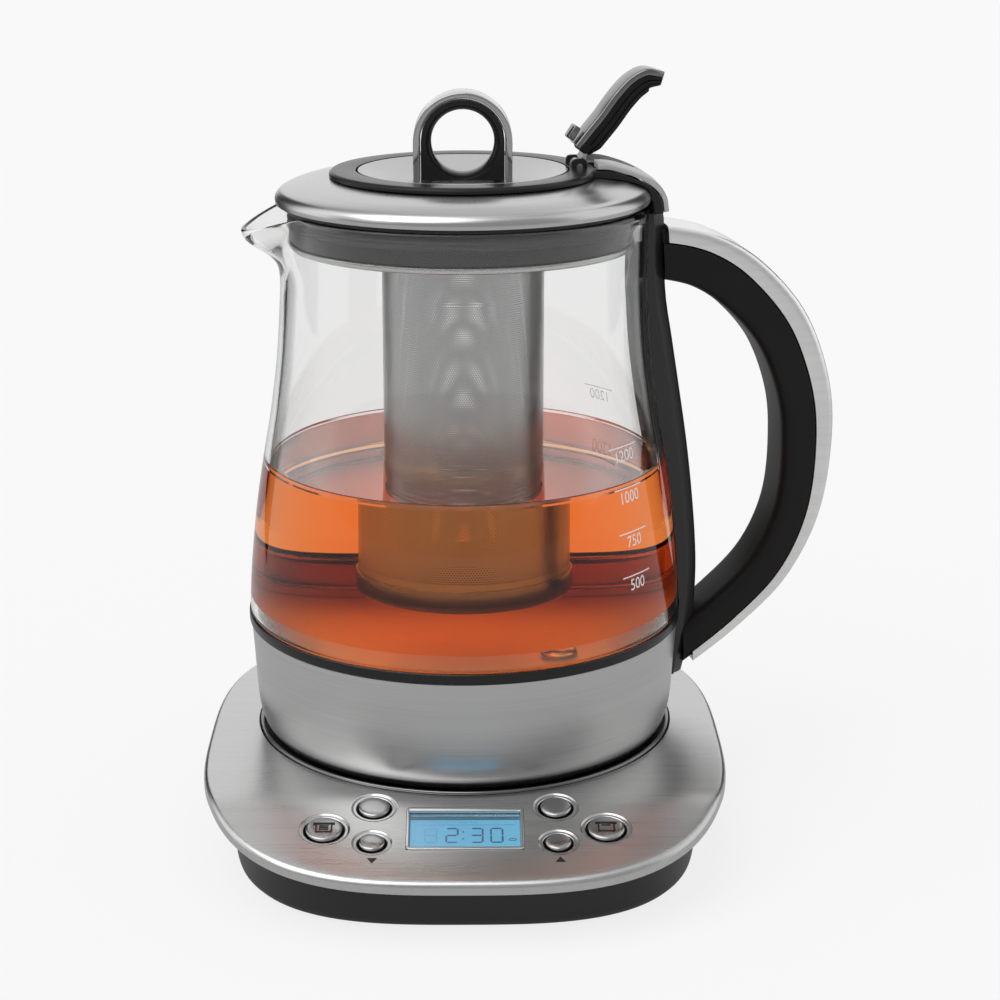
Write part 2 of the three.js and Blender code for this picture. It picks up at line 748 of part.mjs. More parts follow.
function addPowerBoard() {
  const halfLength = powerBoardLength / 2;
  const halfWidth = powerBoardWidth / 2;
  const [lowY, highY] = [powerBoardCentreY - halfWidth, powerBoardCentreY + halfWidth];
  const deckZ = boardZ + boardThickness;
  let board = block(-halfLength, halfLength, lowY, highY, boardZ, deckZ);
  dishPostPlaces.forEach(([x, y]) => {
    board = board.subtract(rod(dishPostRadius + slideGap, 0, plateTopZ, smallFacets, x, y));
  });
  addPart(baseGroup, 'power_board', board, finish(0x2f6b3c, 0.6, 0));
  const y = powerBoardCentreY;
  const relayZ = deckZ + gap;
  const relay = block(
    relayShiftX - relayLength / 2, relayShiftX + relayLength / 2,
    y - relayWidth / 2, y + relayWidth / 2, relayZ, relayZ + relayHeight,
  );
  addPart(baseGroup, 'power_relay', relay, finish(0x2455a4, 0.5, 0));
  const buzzer = rod(buzzerRadius, relayZ, relayZ + buzzerHeight, smallFacets, buzzerShiftX, y);
  addPart(baseGroup, 'buzzer', buzzer, blackPlastic());
}

function addCordGland() {
  const outerY = housingRearY + glandFlangeThickness + gap;
  const profile = [
    [glandBoreRadius, outerY - glandLength], [glandRadius, outerY - glandLength],
    [glandRadius, housingRearY + gap], [glandFlangeRadius, housingRearY + gap],
    [glandFlangeRadius, outerY], [glandBoreRadius, outerY],
  ];
  const geometry = turnedGeometry(profile, smallFacets).rotateX(-Math.PI / 2).translate(0, 0, glandCentreZ);
  addPart(baseGroup, 'cord_gland', solid(geometry), rubber());
}

function addScreen() {
  const [halfWidth, halfDepth] = [lcdWidth / 2 - gap, lcdDepth / 2 - gap];
  const inner = [halfWidth - lcdFrameWidth, halfDepth - lcdFrameWidth];
  const y = lcdCentreY;
  const outerBlock = block(
    -halfWidth, halfWidth, y - halfDepth, y + halfDepth, lcdFrameProud - lcdFrameHeight, lcdFrameProud,
  );
  const innerBlock = block(
    -inner[0], inner[0], y - inner[1], y + inner[1], -lcdFrameHeight, lcdFrameProud + cutOverrun,
  );
  addPart(panelGroup, 'lcd_frame', outerBlock.subtract(innerBlock), chrome());
  const [windowX, windowY] = [inner[0] - gap, inner[1] - gap];
  const windowZ = -lcdWindowSink - lcdWindowThickness;
  const screenWindow = block(-windowX, windowX, y - windowY, y + windowY, windowZ, -lcdWindowSink);
  addPart(panelGroup, 'lcd_window', screenWindow, clearGlass());
  const moduleZ = windowZ - gap;
  const lcd = block(-windowX, windowX, y - windowY, y + windowY, moduleZ - lcdModuleThickness, moduleZ);
  addPart(panelGroup, 'lcd_module', lcd, finish(0x5fb0d8, 0.4, 0));
}

function addControlBoard() {
  const room = basePrism(housingInset + housingWall + gap, 0, plateTopZ);
  const sheet = (lowZ, highZ) => (
    panelBlock(guideHalfLength, guideFrontY, guideRearY, lowZ, highZ).intersect(room)
  );
  let guide = sheet(-guideDrop - guideThickness, -guideDrop);
  const [windowX, windowY] = [lcdWidth / 2 + gap, lcdDepth / 2 + gap];
  guide = guide.subtract(panelBlock(windowX, lcdCentreY - windowY, lcdCentreY + windowY, -guideDrop * 2, 0));
  const boardTop = -controlBoardDrop;
  const matLow = boardTop + gap;
  let mat = sheet(matLow, matLow + matThickness);
  panelButtons.forEach(({ x, y }) => {
    guide = guide.subtract(panelRod(buttonStemRadius + slideGap, -guideDrop * 2, 0, screwFacets, x, y));
    mat = mat.add(panelRod(matDomeRadius, matLow, matLow + matDomeHeight, screwFacets, x, y));
  });
  [-1, 1].forEach((side) => {
    const legX = side * guideLegX;
    const legY = guideRearY - boardPostRadius * 2;
    const legLow = matLow + matThickness + gap;
    guide = guide.add(panelRod(boardPostRadius, legLow, -plateWall - gap, screwFacets, legX, legY));
  });
  addPart(baseGroup, 'button_guide', guide, blackPlastic());
  addPart(baseGroup, 'keypad_mat', mat, rubber());
  addPart(baseGroup, 'control_board', sheet(boardTop - boardThickness, boardTop), finish(0x2f6b3c, 0.6, 0));
}

function addButtons() {
  panelButtons.forEach(({ name, x, y, radius }) => {
    const crownRadius = radius - slideGap;
    const flangeRadius = radius + buttonFlangeWidth;
    const flangeTop = -plateWall - gap;
    const flangeLow = flangeTop - buttonFlangeThickness;
    const stemLow = -controlBoardDrop + gap * 2 + matDomeHeight + buttonTravel;
    const geometry = turnedGeometry([
      [0, stemLow], [buttonStemRadius, stemLow], [buttonStemRadius, buttonProud - buttonSkirt],
      [crownRadius, flangeLow], [flangeRadius, flangeLow], [flangeRadius, flangeTop],
      [crownRadius, flangeTop], [crownRadius, buttonProud - buttonCrown],
      [crownRadius - buttonCrown, buttonProud], [0, buttonProud],
    ], smallFacets);
    addPart(panelGroup, name, solid(geometry.translate(x, y, 0)), chrome());
  });
}

function skirtProfile(inset) {
  const waistZ = (skirtFootZ + skirtTopZ) / 2;
  const curve = skirtCurveShares.map(([out, up]) => [
    THREE.MathUtils.lerp(skirtFootRadius, skirtWaistRadius, out) - inset,
    THREE.MathUtils.lerp(skirtFootZ, waistZ, up),
  ]);
  return [...curve, [skirtTopRadius - inset, skirtTopZ]];
}

// Glass outer profile from its foot to the rim, drawn in by an inset
function glassProfile(inset) {
  const shoulder = glassShoulderShares.map(([inward, up]) => [
    THREE.MathUtils.lerp(glassBellyRadius, glassNeckRadius, inward) - inset,
    THREE.MathUtils.lerp(glassBellyZ, glassNeckZ, up),
  ]);
  return [
    [glassFootRadius - inset, glassFootZ],
    [glassFootRadius - inset, trimRingTopZ - gap],
    ...shoulder,
    [glassNeckRadius - inset, glassRimZ],
  ];
}

// The rim is drawn out to a spout opposite the handle: angles are crowded there, then pushed outwards
function pullSpout(geometry) {
  const places = geometry.getAttribute('position');
  for (let i = 0; i < places.count; i += 1) {
    const [x, y, z] = [places.getX(i), places.getY(i), places.getZ(i)];
    const radius = Math.hypot(x, y);
    const even = Math.atan2(y, -x);
    const angle = even - spoutFocusShare * Math.sin(even);
    const near = Math.max(0, 1 - (angle / spoutHalfAngle) ** 2);
    const up = THREE.MathUtils.smoothstep(z, spoutStartZ, glassRimZ);
    const pull = near ** 2 * up ** spoutRisePower;
    const reach = radius + spoutReach * pull;
    places.setXYZ(i, -reach * Math.cos(angle), reach * Math.sin(angle), z - spoutDrop * pull);
  }
  return geometry;
}

function addCarafe() {
  const outside = glassProfile(0);
  const inside = glassProfile(glassWall).reverse();
  const spoutRings = spoutRingShares.map((share) => THREE.MathUtils.lerp(spoutStartZ, glassRimZ, share));
  outside.splice(outside.length - 1, 0, ...spoutRings.map((z) => [glassNeckRadius, z]));
  inside.splice(1, 0, ...spoutRings.toReversed().map((z) => [glassNeckRadius - glassWall, z]));
  const lip = [glassNeckRadius - glassWall / 2, glassRimZ + glassRimCrook];
  const geometry = pullSpout(turnedGeometry([...outside, lip, ...inside], glassFacets));
  addPart(jugGroup, 'glass_carafe', solid(geometry), clearGlass());
}

function addJugFoot() {
  const lipRadius = skirtFootRadius - jugCoverLap - gap;
  const skirt = turned([
    ...skirtProfile(0), ...skirtProfile(skirtWall).reverse(),
  ], wideFacets);
  addPart(jugGroup, 'steel_skirt', skirt, steel());
  const coverRadius = skirtFootRadius - skirtWall - gap;
  const cover = turned([
    [socketInnerRadius, jugFootZ], [lipRadius, jugFootZ], [coverRadius, jugFootZ + jugCoverLap / 2],
    [coverRadius, jugCoverTopZ], [socketInnerRadius, jugCoverTopZ],
  ], wideFacets);
  addPart(jugGroup, 'jug_bottom_cover', cover, blackPlastic());
  const socketOuter = socketInnerRadius + socketWall;
  const flangeLow = jugCoverTopZ + gap;
  const flangeTop = flangeLow + socketFlangeThickness;
  const flangeRadius = socketInnerRadius + socketFlangeWidth;
  const socket = turned([
    [socketInnerRadius, flangeLow], [flangeRadius, flangeLow], [flangeRadius, flangeTop],
    [socketOuter, flangeTop], [socketOuter, socketRoofZ + socketWall], [0, socketRoofZ + socketWall],
    [0, socketRoofZ], [socketInnerRadius, socketRoofZ], [socketInnerRadius, flangeLow],
  ], middleFacets);
  addPart(jugGroup, 'coupler_socket', socket, blackPlastic());
  const ringInner = trimRingRadius - trimRingWall;
  const trimRing = tube(ringInner, trimRingRadius, skirtTopZ + gap, trimRingTopZ, wideFacets);
  addPart(jugGroup, 'trim_ring', trimRing, blackPlastic());
}

function addHeater() {
  const plateRadius = glassFootRadius - gap;
  const stemHoleTop = heaterPlateTopZ + cutOverrun;
  const stemHole = rod(sensorStemRadius + gap, 0, stemHoleTop, smallFacets, sensorX, sensorY);
  const plate = rod(plateRadius, heaterPlateZ, heaterPlateTopZ, wideFacets).subtract(stemHole);
  addPart(jugGroup, 'heater_plate', plate, steel());
  const gasketLow = heaterPlateTopZ + gap;
  const gasket = tube(plateRadius - gasketWidth, plateRadius, gasketLow, glassFootZ - gap, wideFacets);
  addPart(jugGroup, 'glass_gasket', gasket, finish(0xd8d8d4, 0.7, 0));
  const centreZ = heaterPlateZ - gap - elementTubeRadius;
  const path = new THREE.CatmullRomCurve3(Array.from({ length: elementSteps }, (_, i) => {
    const angle = (i / (elementSteps - 1)) * elementSweep;
    return new THREE.Vector3(elementRadius * Math.cos(angle), elementRadius * Math.sin(angle), centreZ);
  }));
  const section = new THREE.Shape();
  for (let i = 0; i < elementTubeFacets; i += 1) {
    const angle = (i / elementTubeFacets) * Math.PI * 2;
    const corner = [elementTubeRadius * Math.cos(angle), elementTubeRadius * Math.sin(angle)];
    if (i === 0) section.moveTo(...corner);
    else section.lineTo(...corner);
  }
  const options = { steps: elementSteps, extrudePath: path, bevelEnabled: false };
  const element = solid(new THREE.ExtrudeGeometry(section, options));
  addPart(jugGroup, 'heating_element', element, finish(0x8f8a82, 0.5, 1));
  const sensorTop = heaterPlateTopZ + gap + sensorHeight;
  const sensorGeometry = turnedGeometry([
    [0, heaterPlateZ - sensorStemLength], [sensorStemRadius, heaterPlateZ - sensorStemLength],
    [sensorStemRadius, heaterPlateTopZ + gap], [sensorRadius, heaterPlateTopZ + gap],
    [sensorRadius * Math.SQRT1_2, sensorTop - sensorHeight * Math.SQRT1_2 / 2], [0, sensorTop],
  ], smallFacets).translate(sensorX, sensorY, 0);
  addPart(jugGroup, 'temperature_sensor', solid(sensorGeometry), chrome());
  const thermostatTop = heaterPlateZ - gap;
  const discLow = thermostatTop - thermostatHeight;
  const legLow = thermostatTop - thermostatLegHeight;
  const disc = rod(thermostatRadius, discLow, thermostatTop, smallFacets, 0, thermostatY);
  const leg = rod(sensorStemRadius, legLow, thermostatTop, smallFacets, 0, thermostatY);
  addPart(jugGroup, 'dry_boil_thermostat', disc.add(leg), finish(0xd9d2c0, 0.6, 0));
}

// Room that the spine and the grip leave for the jug's body
function jugEnvelope() {
  const bodyProfile = [
    [0, 0], [skirtFootRadius, 0], ...skirtProfile(-gap), [trimRingRadius + gap, skirtTopZ],
    [trimRingRadius + gap, trimRingTopZ + gap], ...glassProfile(-gap).slice(2),
    [glassNeckRadius + gap, glassRimZ + glassRimCrook * 2], [0, glassRimZ + glassRimCrook * 2],
  ];
  return turned(bodyProfile, glassFacets);
}

function spineOutline(growth) {
  const outer = glassProfile(-spineDepth - growth).slice(2, -1);
  const topRadius = glassNeckRadius + spineDepth + growth;
  const inner = glassNeckRadius - spineDepth;
  return [
    [inner, spineFootZ - growth], [skirtWaistRadius + spineFootDepth + growth, spineFootZ - growth],
    ...outer, [topRadius, spineTopZ + growth], [inner, spineTopZ + growth],
  ];
}

function gripSection(low, high, halfWidth, rounding) {
  const cut = rounding * (1 - Math.SQRT1_2);
  return [
    [-halfWidth + rounding, low], [halfWidth - rounding, low], [halfWidth - cut, low + cut],
    [halfWidth, low + rounding], [halfWidth, high - rounding], [halfWidth - cut, high - cut],
    [halfWidth - rounding, high], [-halfWidth + rounding, high], [-halfWidth + cut, high - cut],
    [-halfWidth, high - rounding], [-halfWidth, low + rounding], [-halfWidth + cut, low + cut],
  ];
}

// Middle line of the grip, and past its foot a short way into the jug so that the spine hides its end
function gripPath() {
  const points = gripPathShares.map(([out, up]) => {
    const root = THREE.MathUtils.lerp(gripFootRadius, gripRootRadius, up);
    return new THREE.Vector2(
      THREE.MathUtils.lerp(root, gripFarRadius, out),
      THREE.MathUtils.lerp(gripLowZ, gripHighZ, up),
    );
  });
  points.push(new THREE.Vector2(gripFootRadius - gripEndReach, gripLowZ - gripEndDrop));
  return new THREE.SplineCurve(points);
}

function addHandle() {
  const envelope = jugEnvelope();
  const spine = sideSlab(spineOutline(0), spineHalfWidth).subtract(envelope);
  addPart(jugGroup, 'handle_spine', spine, blackPlastic());
  const roomHalfWidth = gripHalfWidth + cutOverrun;
  const footReach = skirtWaistRadius + spineFootDepth + gap;
  const underSpine = block(0, footReach, -roomHalfWidth, roomHalfWidth, 0, spineFootZ);
  const spineRoom = unite([sideSlab(spineOutline(gap), roomHalfWidth), envelope, underSpine]);
  const path = gripPath();
  const half = gripThickness / 2;
  const bareHalf = gripHalfWidth - coverWall - gap;
  const swept = (low, high, halfWidth, rounding) => (
    sweptSection(gripSection(low, high, halfWidth, rounding), path, gripSteps)
  );
  const whole = swept(-half, half, gripHalfWidth, half / 2);
  const core = swept(-half, half - coverWall - gap, bareHalf, half / 2);
  const past = half + cutOverrun;
  const outerSide = swept(half - coverDepth, past, gripHalfWidth + past, coverEdgeRounding);
  const innerSide = swept(-past, half - coverDepth - gap, gripHalfWidth + past, coverEdgeRounding);
  const coreRoom = swept(-half, half - coverWall, gripHalfWidth - coverWall, half / 2);
  const grip = whole.intersect(innerSide).add(core.subtract(innerSide)).subtract(spineRoom);
  addPart(jugGroup, 'handle_grip', grip, blackPlastic());
  const farX = gripFarRadius + gripThickness;
  const highZ = gripHighZ + gripThickness;
  const coverStart = block(coverStartRadius, farX, -gripHalfWidth * 2, gripHalfWidth * 2, 0, highZ);
  const cover = whole.intersect(outerSide).subtract(coreRoom).intersect(coverStart).subtract(spineRoom);
  addPart(jugGroup, 'handle_cover', cover, steel());
}

function domeProfile(inset) {
  return domeCurveShares.map(([out, up]) => [
    THREE.MathUtils.lerp(domeCrownRadius, domeRimRadius, out) - inset * out,
    THREE.MathUtils.lerp(domeRimZ, domeCrownZ, up) - inset * (up > domeHemShare ? 1 : 0),
  ]);
}

function domeSolidProfile(growth) {
  return [
    [0, domeRimZ - growth], [domeRimRadius + growth, domeRimZ - growth], ...domeProfile(-growth),
    [0, domeCrownZ + growth],
  ];
}

function addLidShell() {
  const hem = domeRimRadius - domeHemWidth;
  const dome = turned([
    [hem, domeRimZ], ...domeProfile(0), [domeHoleRadius, domeCrownZ], [domeHoleRadius, domeCrownZ - domeWall],
    ...domeProfile(domeWall).slice(3).reverse(), [hem, domeRimZ + domeWall],
  ], wideFacets);
  addPart(jugGroup, 'lid_dome', dome, steel());
  const underDome = domeRimZ - gap;
  const sealSeat = plugRadius - sealDepth;
  const sealTop = sealZ + sealHeight;
  const plug = turned([
    [plugBoreRadius, plugFootZ], [plugLowRadius, plugFootZ], [plugLowRadius, plugStepZ],
    [sealSeat, plugStepZ], [sealSeat, sealTop], [plugRadius, sealTop], [plugRadius, plugTopZ],
    [hem - gap, plugTopZ], [hem - gap, underDome],
    [plugRadius - plugRimWall, underDome], [plugRadius - plugRimWall, plugFootZ + plugFloor],
    [plugBoreRadius + plugBoreWall, plugFootZ + plugFloor], [plugBoreRadius + plugBoreWall, ringFootZ - gap],
    [plugBoreRadius, ringFootZ - gap],
  ], wideFacets);
  addPart(jugGroup, 'lid_plug', plug, greyPlastic());
  const seal = tube(sealSeat + gap, sealRadius, sealZ - sealHeight / 2, sealTop - gap, wideFacets);
  addPart(jugGroup, 'lid_seal', seal, rubber());
  const clampTop = plugFootZ - gap;
  const clamp = tube(
    clampRingRadius - clampRingWidth, clampRingRadius, clampTop - clampRingHeight, clampTop, wideFacets,
  );
  addPart(jugGroup, 'lid_clamp_ring', clamp, steel());
}

// What the lever needs clear of the lid when it is folded down: all that lies above its underside
function leverRoom() {
  const path = leverPath();
  const under = bandOutline(path, 0, leverTopThickness + leverPadThickness, leverSteps);
  const turnBy = (point) => {
    const [dx, dz] = [point[0] - leverPivotRadius, point[1] - leverPivotZ];
    return [
      leverPivotRadius + dx * Math.cos(leverFold) + dz * Math.sin(leverFold),
      leverPivotZ - dx * Math.sin(leverFold) + dz * Math.cos(leverFold) - slideGap,
    ];
  };
  const lowSide = under.slice(leverSteps + 1).reverse().map(turnBy);
  const skyZ = loopTopZ;
  const outline = [[leverPivotRadius, skyZ], [leverPivotRadius, leverPivotZ - slideGap], ...lowSide,
    [tailEndRadius * 2, lowSide[lowSide.length - 1][1]], [tailEndRadius * 2, skyZ]];
  return sideSlab(outline, leverHalfWidth + slideGap);
}

function leverPath() {
  return splineFrom(leverPathShares, leverFootX, leverTipX, leverFootZ, leverTipZ);
}

function addLidRing() {
  const domeRoom = turned(domeSolidProfile(gap), wideFacets);
  const ringLow = domeCrownZ + gap;
  const neckRadius = domeHoleRadius - gap;
  const edge = (ringCrownZ - ringLow) / 2;
  const ring = turned([
    [ringLedgeRadius, ringFootZ], [neckRadius, ringFootZ], [neckRadius, ringLow], [ringOuterRadius, ringLow],
    [ringOuterRadius, ringLow + edge], [ringOuterRadius - edge, ringCrownZ], [ringInnerRadius, ringCrownZ],
    [ringInnerRadius, ringLedgeZ], [ringLedgeRadius, ringLedgeZ],
  ], wideFacets);
  const path = splineFrom(tailPathShares, tailRootRadius, tailEndRadius, tailLowZ, tailHighZ);
  const tailNear = hoodThickness + slideGap;
  const bandSteps = tailSteps;
  let tail = sideSlab(bandOutline(path, tailNear, tailNear + tailThickness, bandSteps), tailHalfWidth);
  const plugRoom = rod(domeRimRadius - domeHemWidth, 0, domeRimZ, wideFacets);
  tail = tail.subtract(rod(neckRadius, 0, loopTopZ, wideFacets)).subtract(domeRoom).subtract(plugRoom);
  const earLow = ringLow + gap;
  const ears = [-1, 1].map((side) => {
    const innerY = leverBarrelHalfWidth + gap;
    const outerY = innerY + leverEarThickness;
    return block(
      leverPivotRadius - leverEarRadius, leverPivotRadius + leverEarRadius,
      Math.min(side * innerY, side * outerY), Math.max(side * innerY, side * outerY),
      earLow, leverPivotZ + leverEarHeight,
    );
  });
  const slotHalf = leverBarrelHalfWidth + gap;
  const slotLow = leverPivotZ - leverBarrelRadius - gap;
  const slotStart = leverPivotRadius - leverBarrelRadius - gap;
  const slotEnd = leverPivotRadius + leverBarrelRadius * 2;
  const slot = block(slotStart, slotEnd, -slotHalf, slotHalf, slotLow, loopTopZ);
  const pinRadius = leverPinRadius + gap;
  const pinBore = crossRod(pinRadius, leverPinHalfLength * 2, leverPivotRadius, leverPivotZ, screwFacets);
  const body = ring.add(tail).subtract(leverRoom()).add(unite(ears)).subtract(slot).subtract(pinBore);
  addPart(jugGroup, 'lid_ring', body, blackPlastic());
  const crown = hoodThickness - hoodCrown;
  const shoulder = hoodThickness - hoodCrown * hoodShoulderShare;
  const hoodSection = [
    [-hoodHalfWidth, 0], [hoodHalfWidth, 0], [hoodHalfWidth, crown],
    [hoodHalfWidth / 2, shoulder], [0, hoodThickness],
    [-hoodHalfWidth / 2, shoulder], [-hoodHalfWidth, crown],
  ];
  const under = bandOutline(path, hoodThickness, hoodThickness, bandSteps).slice(0, bandSteps + 1);
  const hoodPath = new THREE.SplineCurve(under.map(([x, z]) => new THREE.Vector2(x, z)));
  const wide = hoodHalfWidth * 2;
  const hoodStart = block(hoodStartRadius, tailEndRadius * 2, -wide, wide, 0, loopTopZ);
  const overRing = rod(ringOuterRadius + gap, 0, ringCrownZ + gap, wideFacets);
  const hood = sweptSection(hoodSection, hoodPath, bandSteps).intersect(hoodStart).subtract(leverRoom())
    .subtract(overRing).subtract(domeRoom);
  addPart(jugGroup, 'hood_cover', hood, finish(0xa9abad, 0.3, 1));
  const pin = crossRod(leverPinRadius, leverPinHalfLength, leverPivotRadius, leverPivotZ, screwFacets);
  addPart(jugGroup, 'lever_pin', pin, steel());
}

function addLever() {
  const path = leverPath();
  const top = sideSlab(bandOutline(path, 0, leverTopThickness, leverSteps), leverHalfWidth);
  addPart(jugGroup, 'lever_arm', top, chrome());
  const padNear = leverTopThickness + gap;
  const padFar = leverTopThickness + leverPadThickness;
  const pad = sideSlab(bandOutline(path, padNear, padFar, leverSteps), leverHalfWidth);
  const start = path.getPointAt(0);
  const along = path.getTangentAt(0);
  const middle = leverTopThickness + leverPadThickness / 2;
  const footX = start.x + along.y * middle;
  const footZ = start.y - along.x * middle;
  const drawIn = (leverBarrelRadius + gap) / Math.hypot(footX - leverPivotRadius, footZ - leverPivotZ);
  const rootX = THREE.MathUtils.lerp(leverPivotRadius, footX, drawIn);
  const rootZ = THREE.MathUtils.lerp(leverPivotZ, footZ, drawIn);
  const half = tongueThickness / 2;
  const strip = (startX, startZ, endX, endZ) => sideSlab([
    [startX + along.y * half, startZ - along.x * half], [endX + along.y * half, endZ - along.x * half],
    [endX - along.y * half, endZ + along.x * half], [startX - along.y * half, startZ + along.x * half],
  ], leverBarrelHalfWidth);
  const pivot = [leverPivotRadius, leverPivotZ];
  const barrel = crossRod(leverBarrelRadius, leverBarrelHalfWidth, ...pivot, smallFacets);
  const bore = crossRod(leverPinRadius + gap, leverPinHalfLength, ...pivot, smallFacets);
  const tongue = unite([strip(rootX, rootZ, footX, footZ), barrel, strip(...pivot, rootX, rootZ)]);
  addPart(jugGroup, 'lever_pad', pad.subtract(padPocket(footX, footZ, along)), blackPlastic());
  addPart(jugGroup, 'lever_tongue', tongue.subtract(bore), steel());
}

// The pocket in the pad that takes the tongue's end
function padPocket(footX, footZ, along) {
  const half = tongueThickness / 2 + gap;
  const [deepX, deepZ] = [footX + along.x * gap, footZ + along.y * gap];
  const [outX, outZ] = [footX - along.x * cutOverrun, footZ - along.y * cutOverrun];
  return sideSlab([
    [outX + along.y * half, outZ - along.x * half], [deepX + along.y * half, deepZ - along.x * half],
    [deepX - along.y * half, deepZ + along.x * half], [outX - along.y * half, outZ + along.x * half],
  ], leverBarrelHalfWidth + gap);
}

function addBasket() {
  const rimZ = ringLedgeZ + gap;
  const wallLow = basketFootZ + basketFootWall + gap;
  const wall = tube(basketRadius - basketWall, basketRadius, wallLow, rimZ - gap, middleFacets);
  addPart(jugGroup, 'basket_tube', wall, steel());
  const innerRadius = basketFootRadius - basketFootWall;
  const foot = turned([
    [0, basketFootZ], [basketFootRadius, basketFootZ],
    [basketFootRadius, basketFootZ + basketFootHeight], [innerRadius, basketFootZ + basketFootHeight],
    [innerRadius, basketFootZ + basketFootWall], [0, basketFootZ + basketFootWall],
  ], middleFacets);
  addPart(jugGroup, 'basket_foot', foot, steel());
  const sleeve = basketRadius - basketWall - gap;
  const sleeveBore = sleeve - basketSleeveWall;
  const sleeveLow = rimZ - basketSleeveHeight;
  const rimTop = rimZ + basketRimThickness;
  const rim = turned([
    [sleeveBore, sleeveLow], [sleeve, sleeveLow], [sleeve, rimZ],
    [basketRimRadius, rimZ], [basketRimRadius, rimTop], [sleeveBore, rimTop],
  ], middleFacets);
  addPart(jugGroup, 'basket_rim', rim, steel());
}

function loopOutline(halfWidth, topZ, footZ) {
  const centreZ = topZ - halfWidth;
  const shape = new THREE.Shape();
  shape.moveTo(-halfWidth, footZ);
  shape.lineTo(-halfWidth, centreZ);
  shape.absarc(0, centreZ, halfWidth, Math.PI, 0, true);
  shape.lineTo(halfWidth, footZ);
  shape.closePath();
  return shape;
}

function loopSolid(shape, halfDepth) {
  const options = { depth: halfDepth * 2, bevelEnabled: false, curveSegments: loopSegments };
  return solid(new THREE.ExtrudeGeometry(shape, options).rotateX(Math.PI / 2).translate(0, halfDepth, 0));
}

function addCap() {
  const wellZ = capTopZ - capDishDepth;
  const discLow = wellZ - capThickness;
  const rimRadius = capRadius - capThickness;
  let disc = turned([
    [0, discLow], [capDishRadius, discLow], [capRadius - capThickness / 2, capTopZ - capThickness],
    [capRadius, capTopZ], [rimRadius, capTopZ], [capDishRadius, wellZ], [0, wellZ],
  ], wideFacets);
  [-1, 1].forEach((side) => {
    disc = disc.subtract(rod(screwBoreRadius, 0, loopTopZ, screwFacets, side * loopScrewX, 0));
  });
  addPart(jugGroup, 'cap_disc', disc, steel());
  const footZ = wellZ + gap;
  const bowShape = loopOutline(loopHalfWidth, loopTopZ, footZ);
  const innerHalf = loopHalfWidth - loopBandThickness;
  const innerShape = loopOutline(innerHalf, loopTopZ - loopBandThickness, 0);
  const bow = loopSolid(bowShape, loopHalfDepth).subtract(loopSolid(innerShape, loopHalfDepth + cutOverrun));
  addPart(jugGroup, 'loop_bow', bow, chrome());
  const coreHalf = innerHalf - gap;
  const coreTop = loopTopZ - loopBandThickness - gap;
  const hole = new THREE.CylinderGeometry(loopHoleRadius, loopHoleRadius, loopHalfDepth * 4, middleFacets);
  let core = loopSolid(loopOutline(coreHalf, coreTop, footZ), loopHalfDepth - loopCoreInset);
  core = core.subtract(solid(hole.translate(0, 0, loopTopZ - loopHalfWidth)));
  [-1, 1].forEach((side, i) => {
    const x = side * loopScrewX;
    const headTop = discLow - gap;
    const shankTop = footZ + loopScrewLength;
    core = core.subtract(rod(screwBoreRadius, 0, shankTop + gap, screwFacets, x, 0));
    const head = rod(screwHeadRadius, headTop - screwHeadHeight, headTop, screwFacets, x, 0);
    const screw = head.add(rod(screwShankRadius, headTop - screwHeadHeight, shankTop, screwFacets, x, 0));
    addPart(jugGroup, `cap_screw_${i + 1}`, screw, steel());
  });
  addPart(jugGroup, 'loop_core', core, blackPlastic());
  const sealOuter = basketRadius - basketWall - gap * 2 - basketSleeveWall;
  const sealTop = discLow - gap;
  const seal = tube(sealOuter - capSealWidth, sealOuter, sealTop - capSealHeight, sealTop, middleFacets);
  addPart(jugGroup, 'cap_seal', seal, rubber());
}

addTopPlate();
addHousing();
addFeet();
addDock();
addPowerBoard();
addCordGland();
addScreen();
addControlBoard();
addButtons();
addCarafe();
addJugFoot();
addHeater();
addHandle();
addLidShell();
addLidRing();
addLever();
addBasket();
addCap();

// The origin is the middle of the model's box, on the surface that it stands on
kettle.updateMatrixWorld(true);
const extent = new THREE.Box3().setFromObject(assembly, true);
const middle = extent.getCenter(new THREE.Vector3());
assembly.position.set(-middle.x, -middle.y, -extent.min.z);
kettle.updateMatrixWorld(true);

export default kettle;
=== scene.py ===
# %% [markdown]
# # Electric tea kettle
# The kettle is a glass jug with a steel foot, a lid with a lift-out infuser, and a flat heated base.
# Its solids come from the CAD model, which stays as it is. Each visible part is modelled again here with
# smooth surfaces and real finishes, in the CAD model's own place, so that both fit each other everywhere.

import json
import math

import bpy
from mathutils import Matrix, Vector

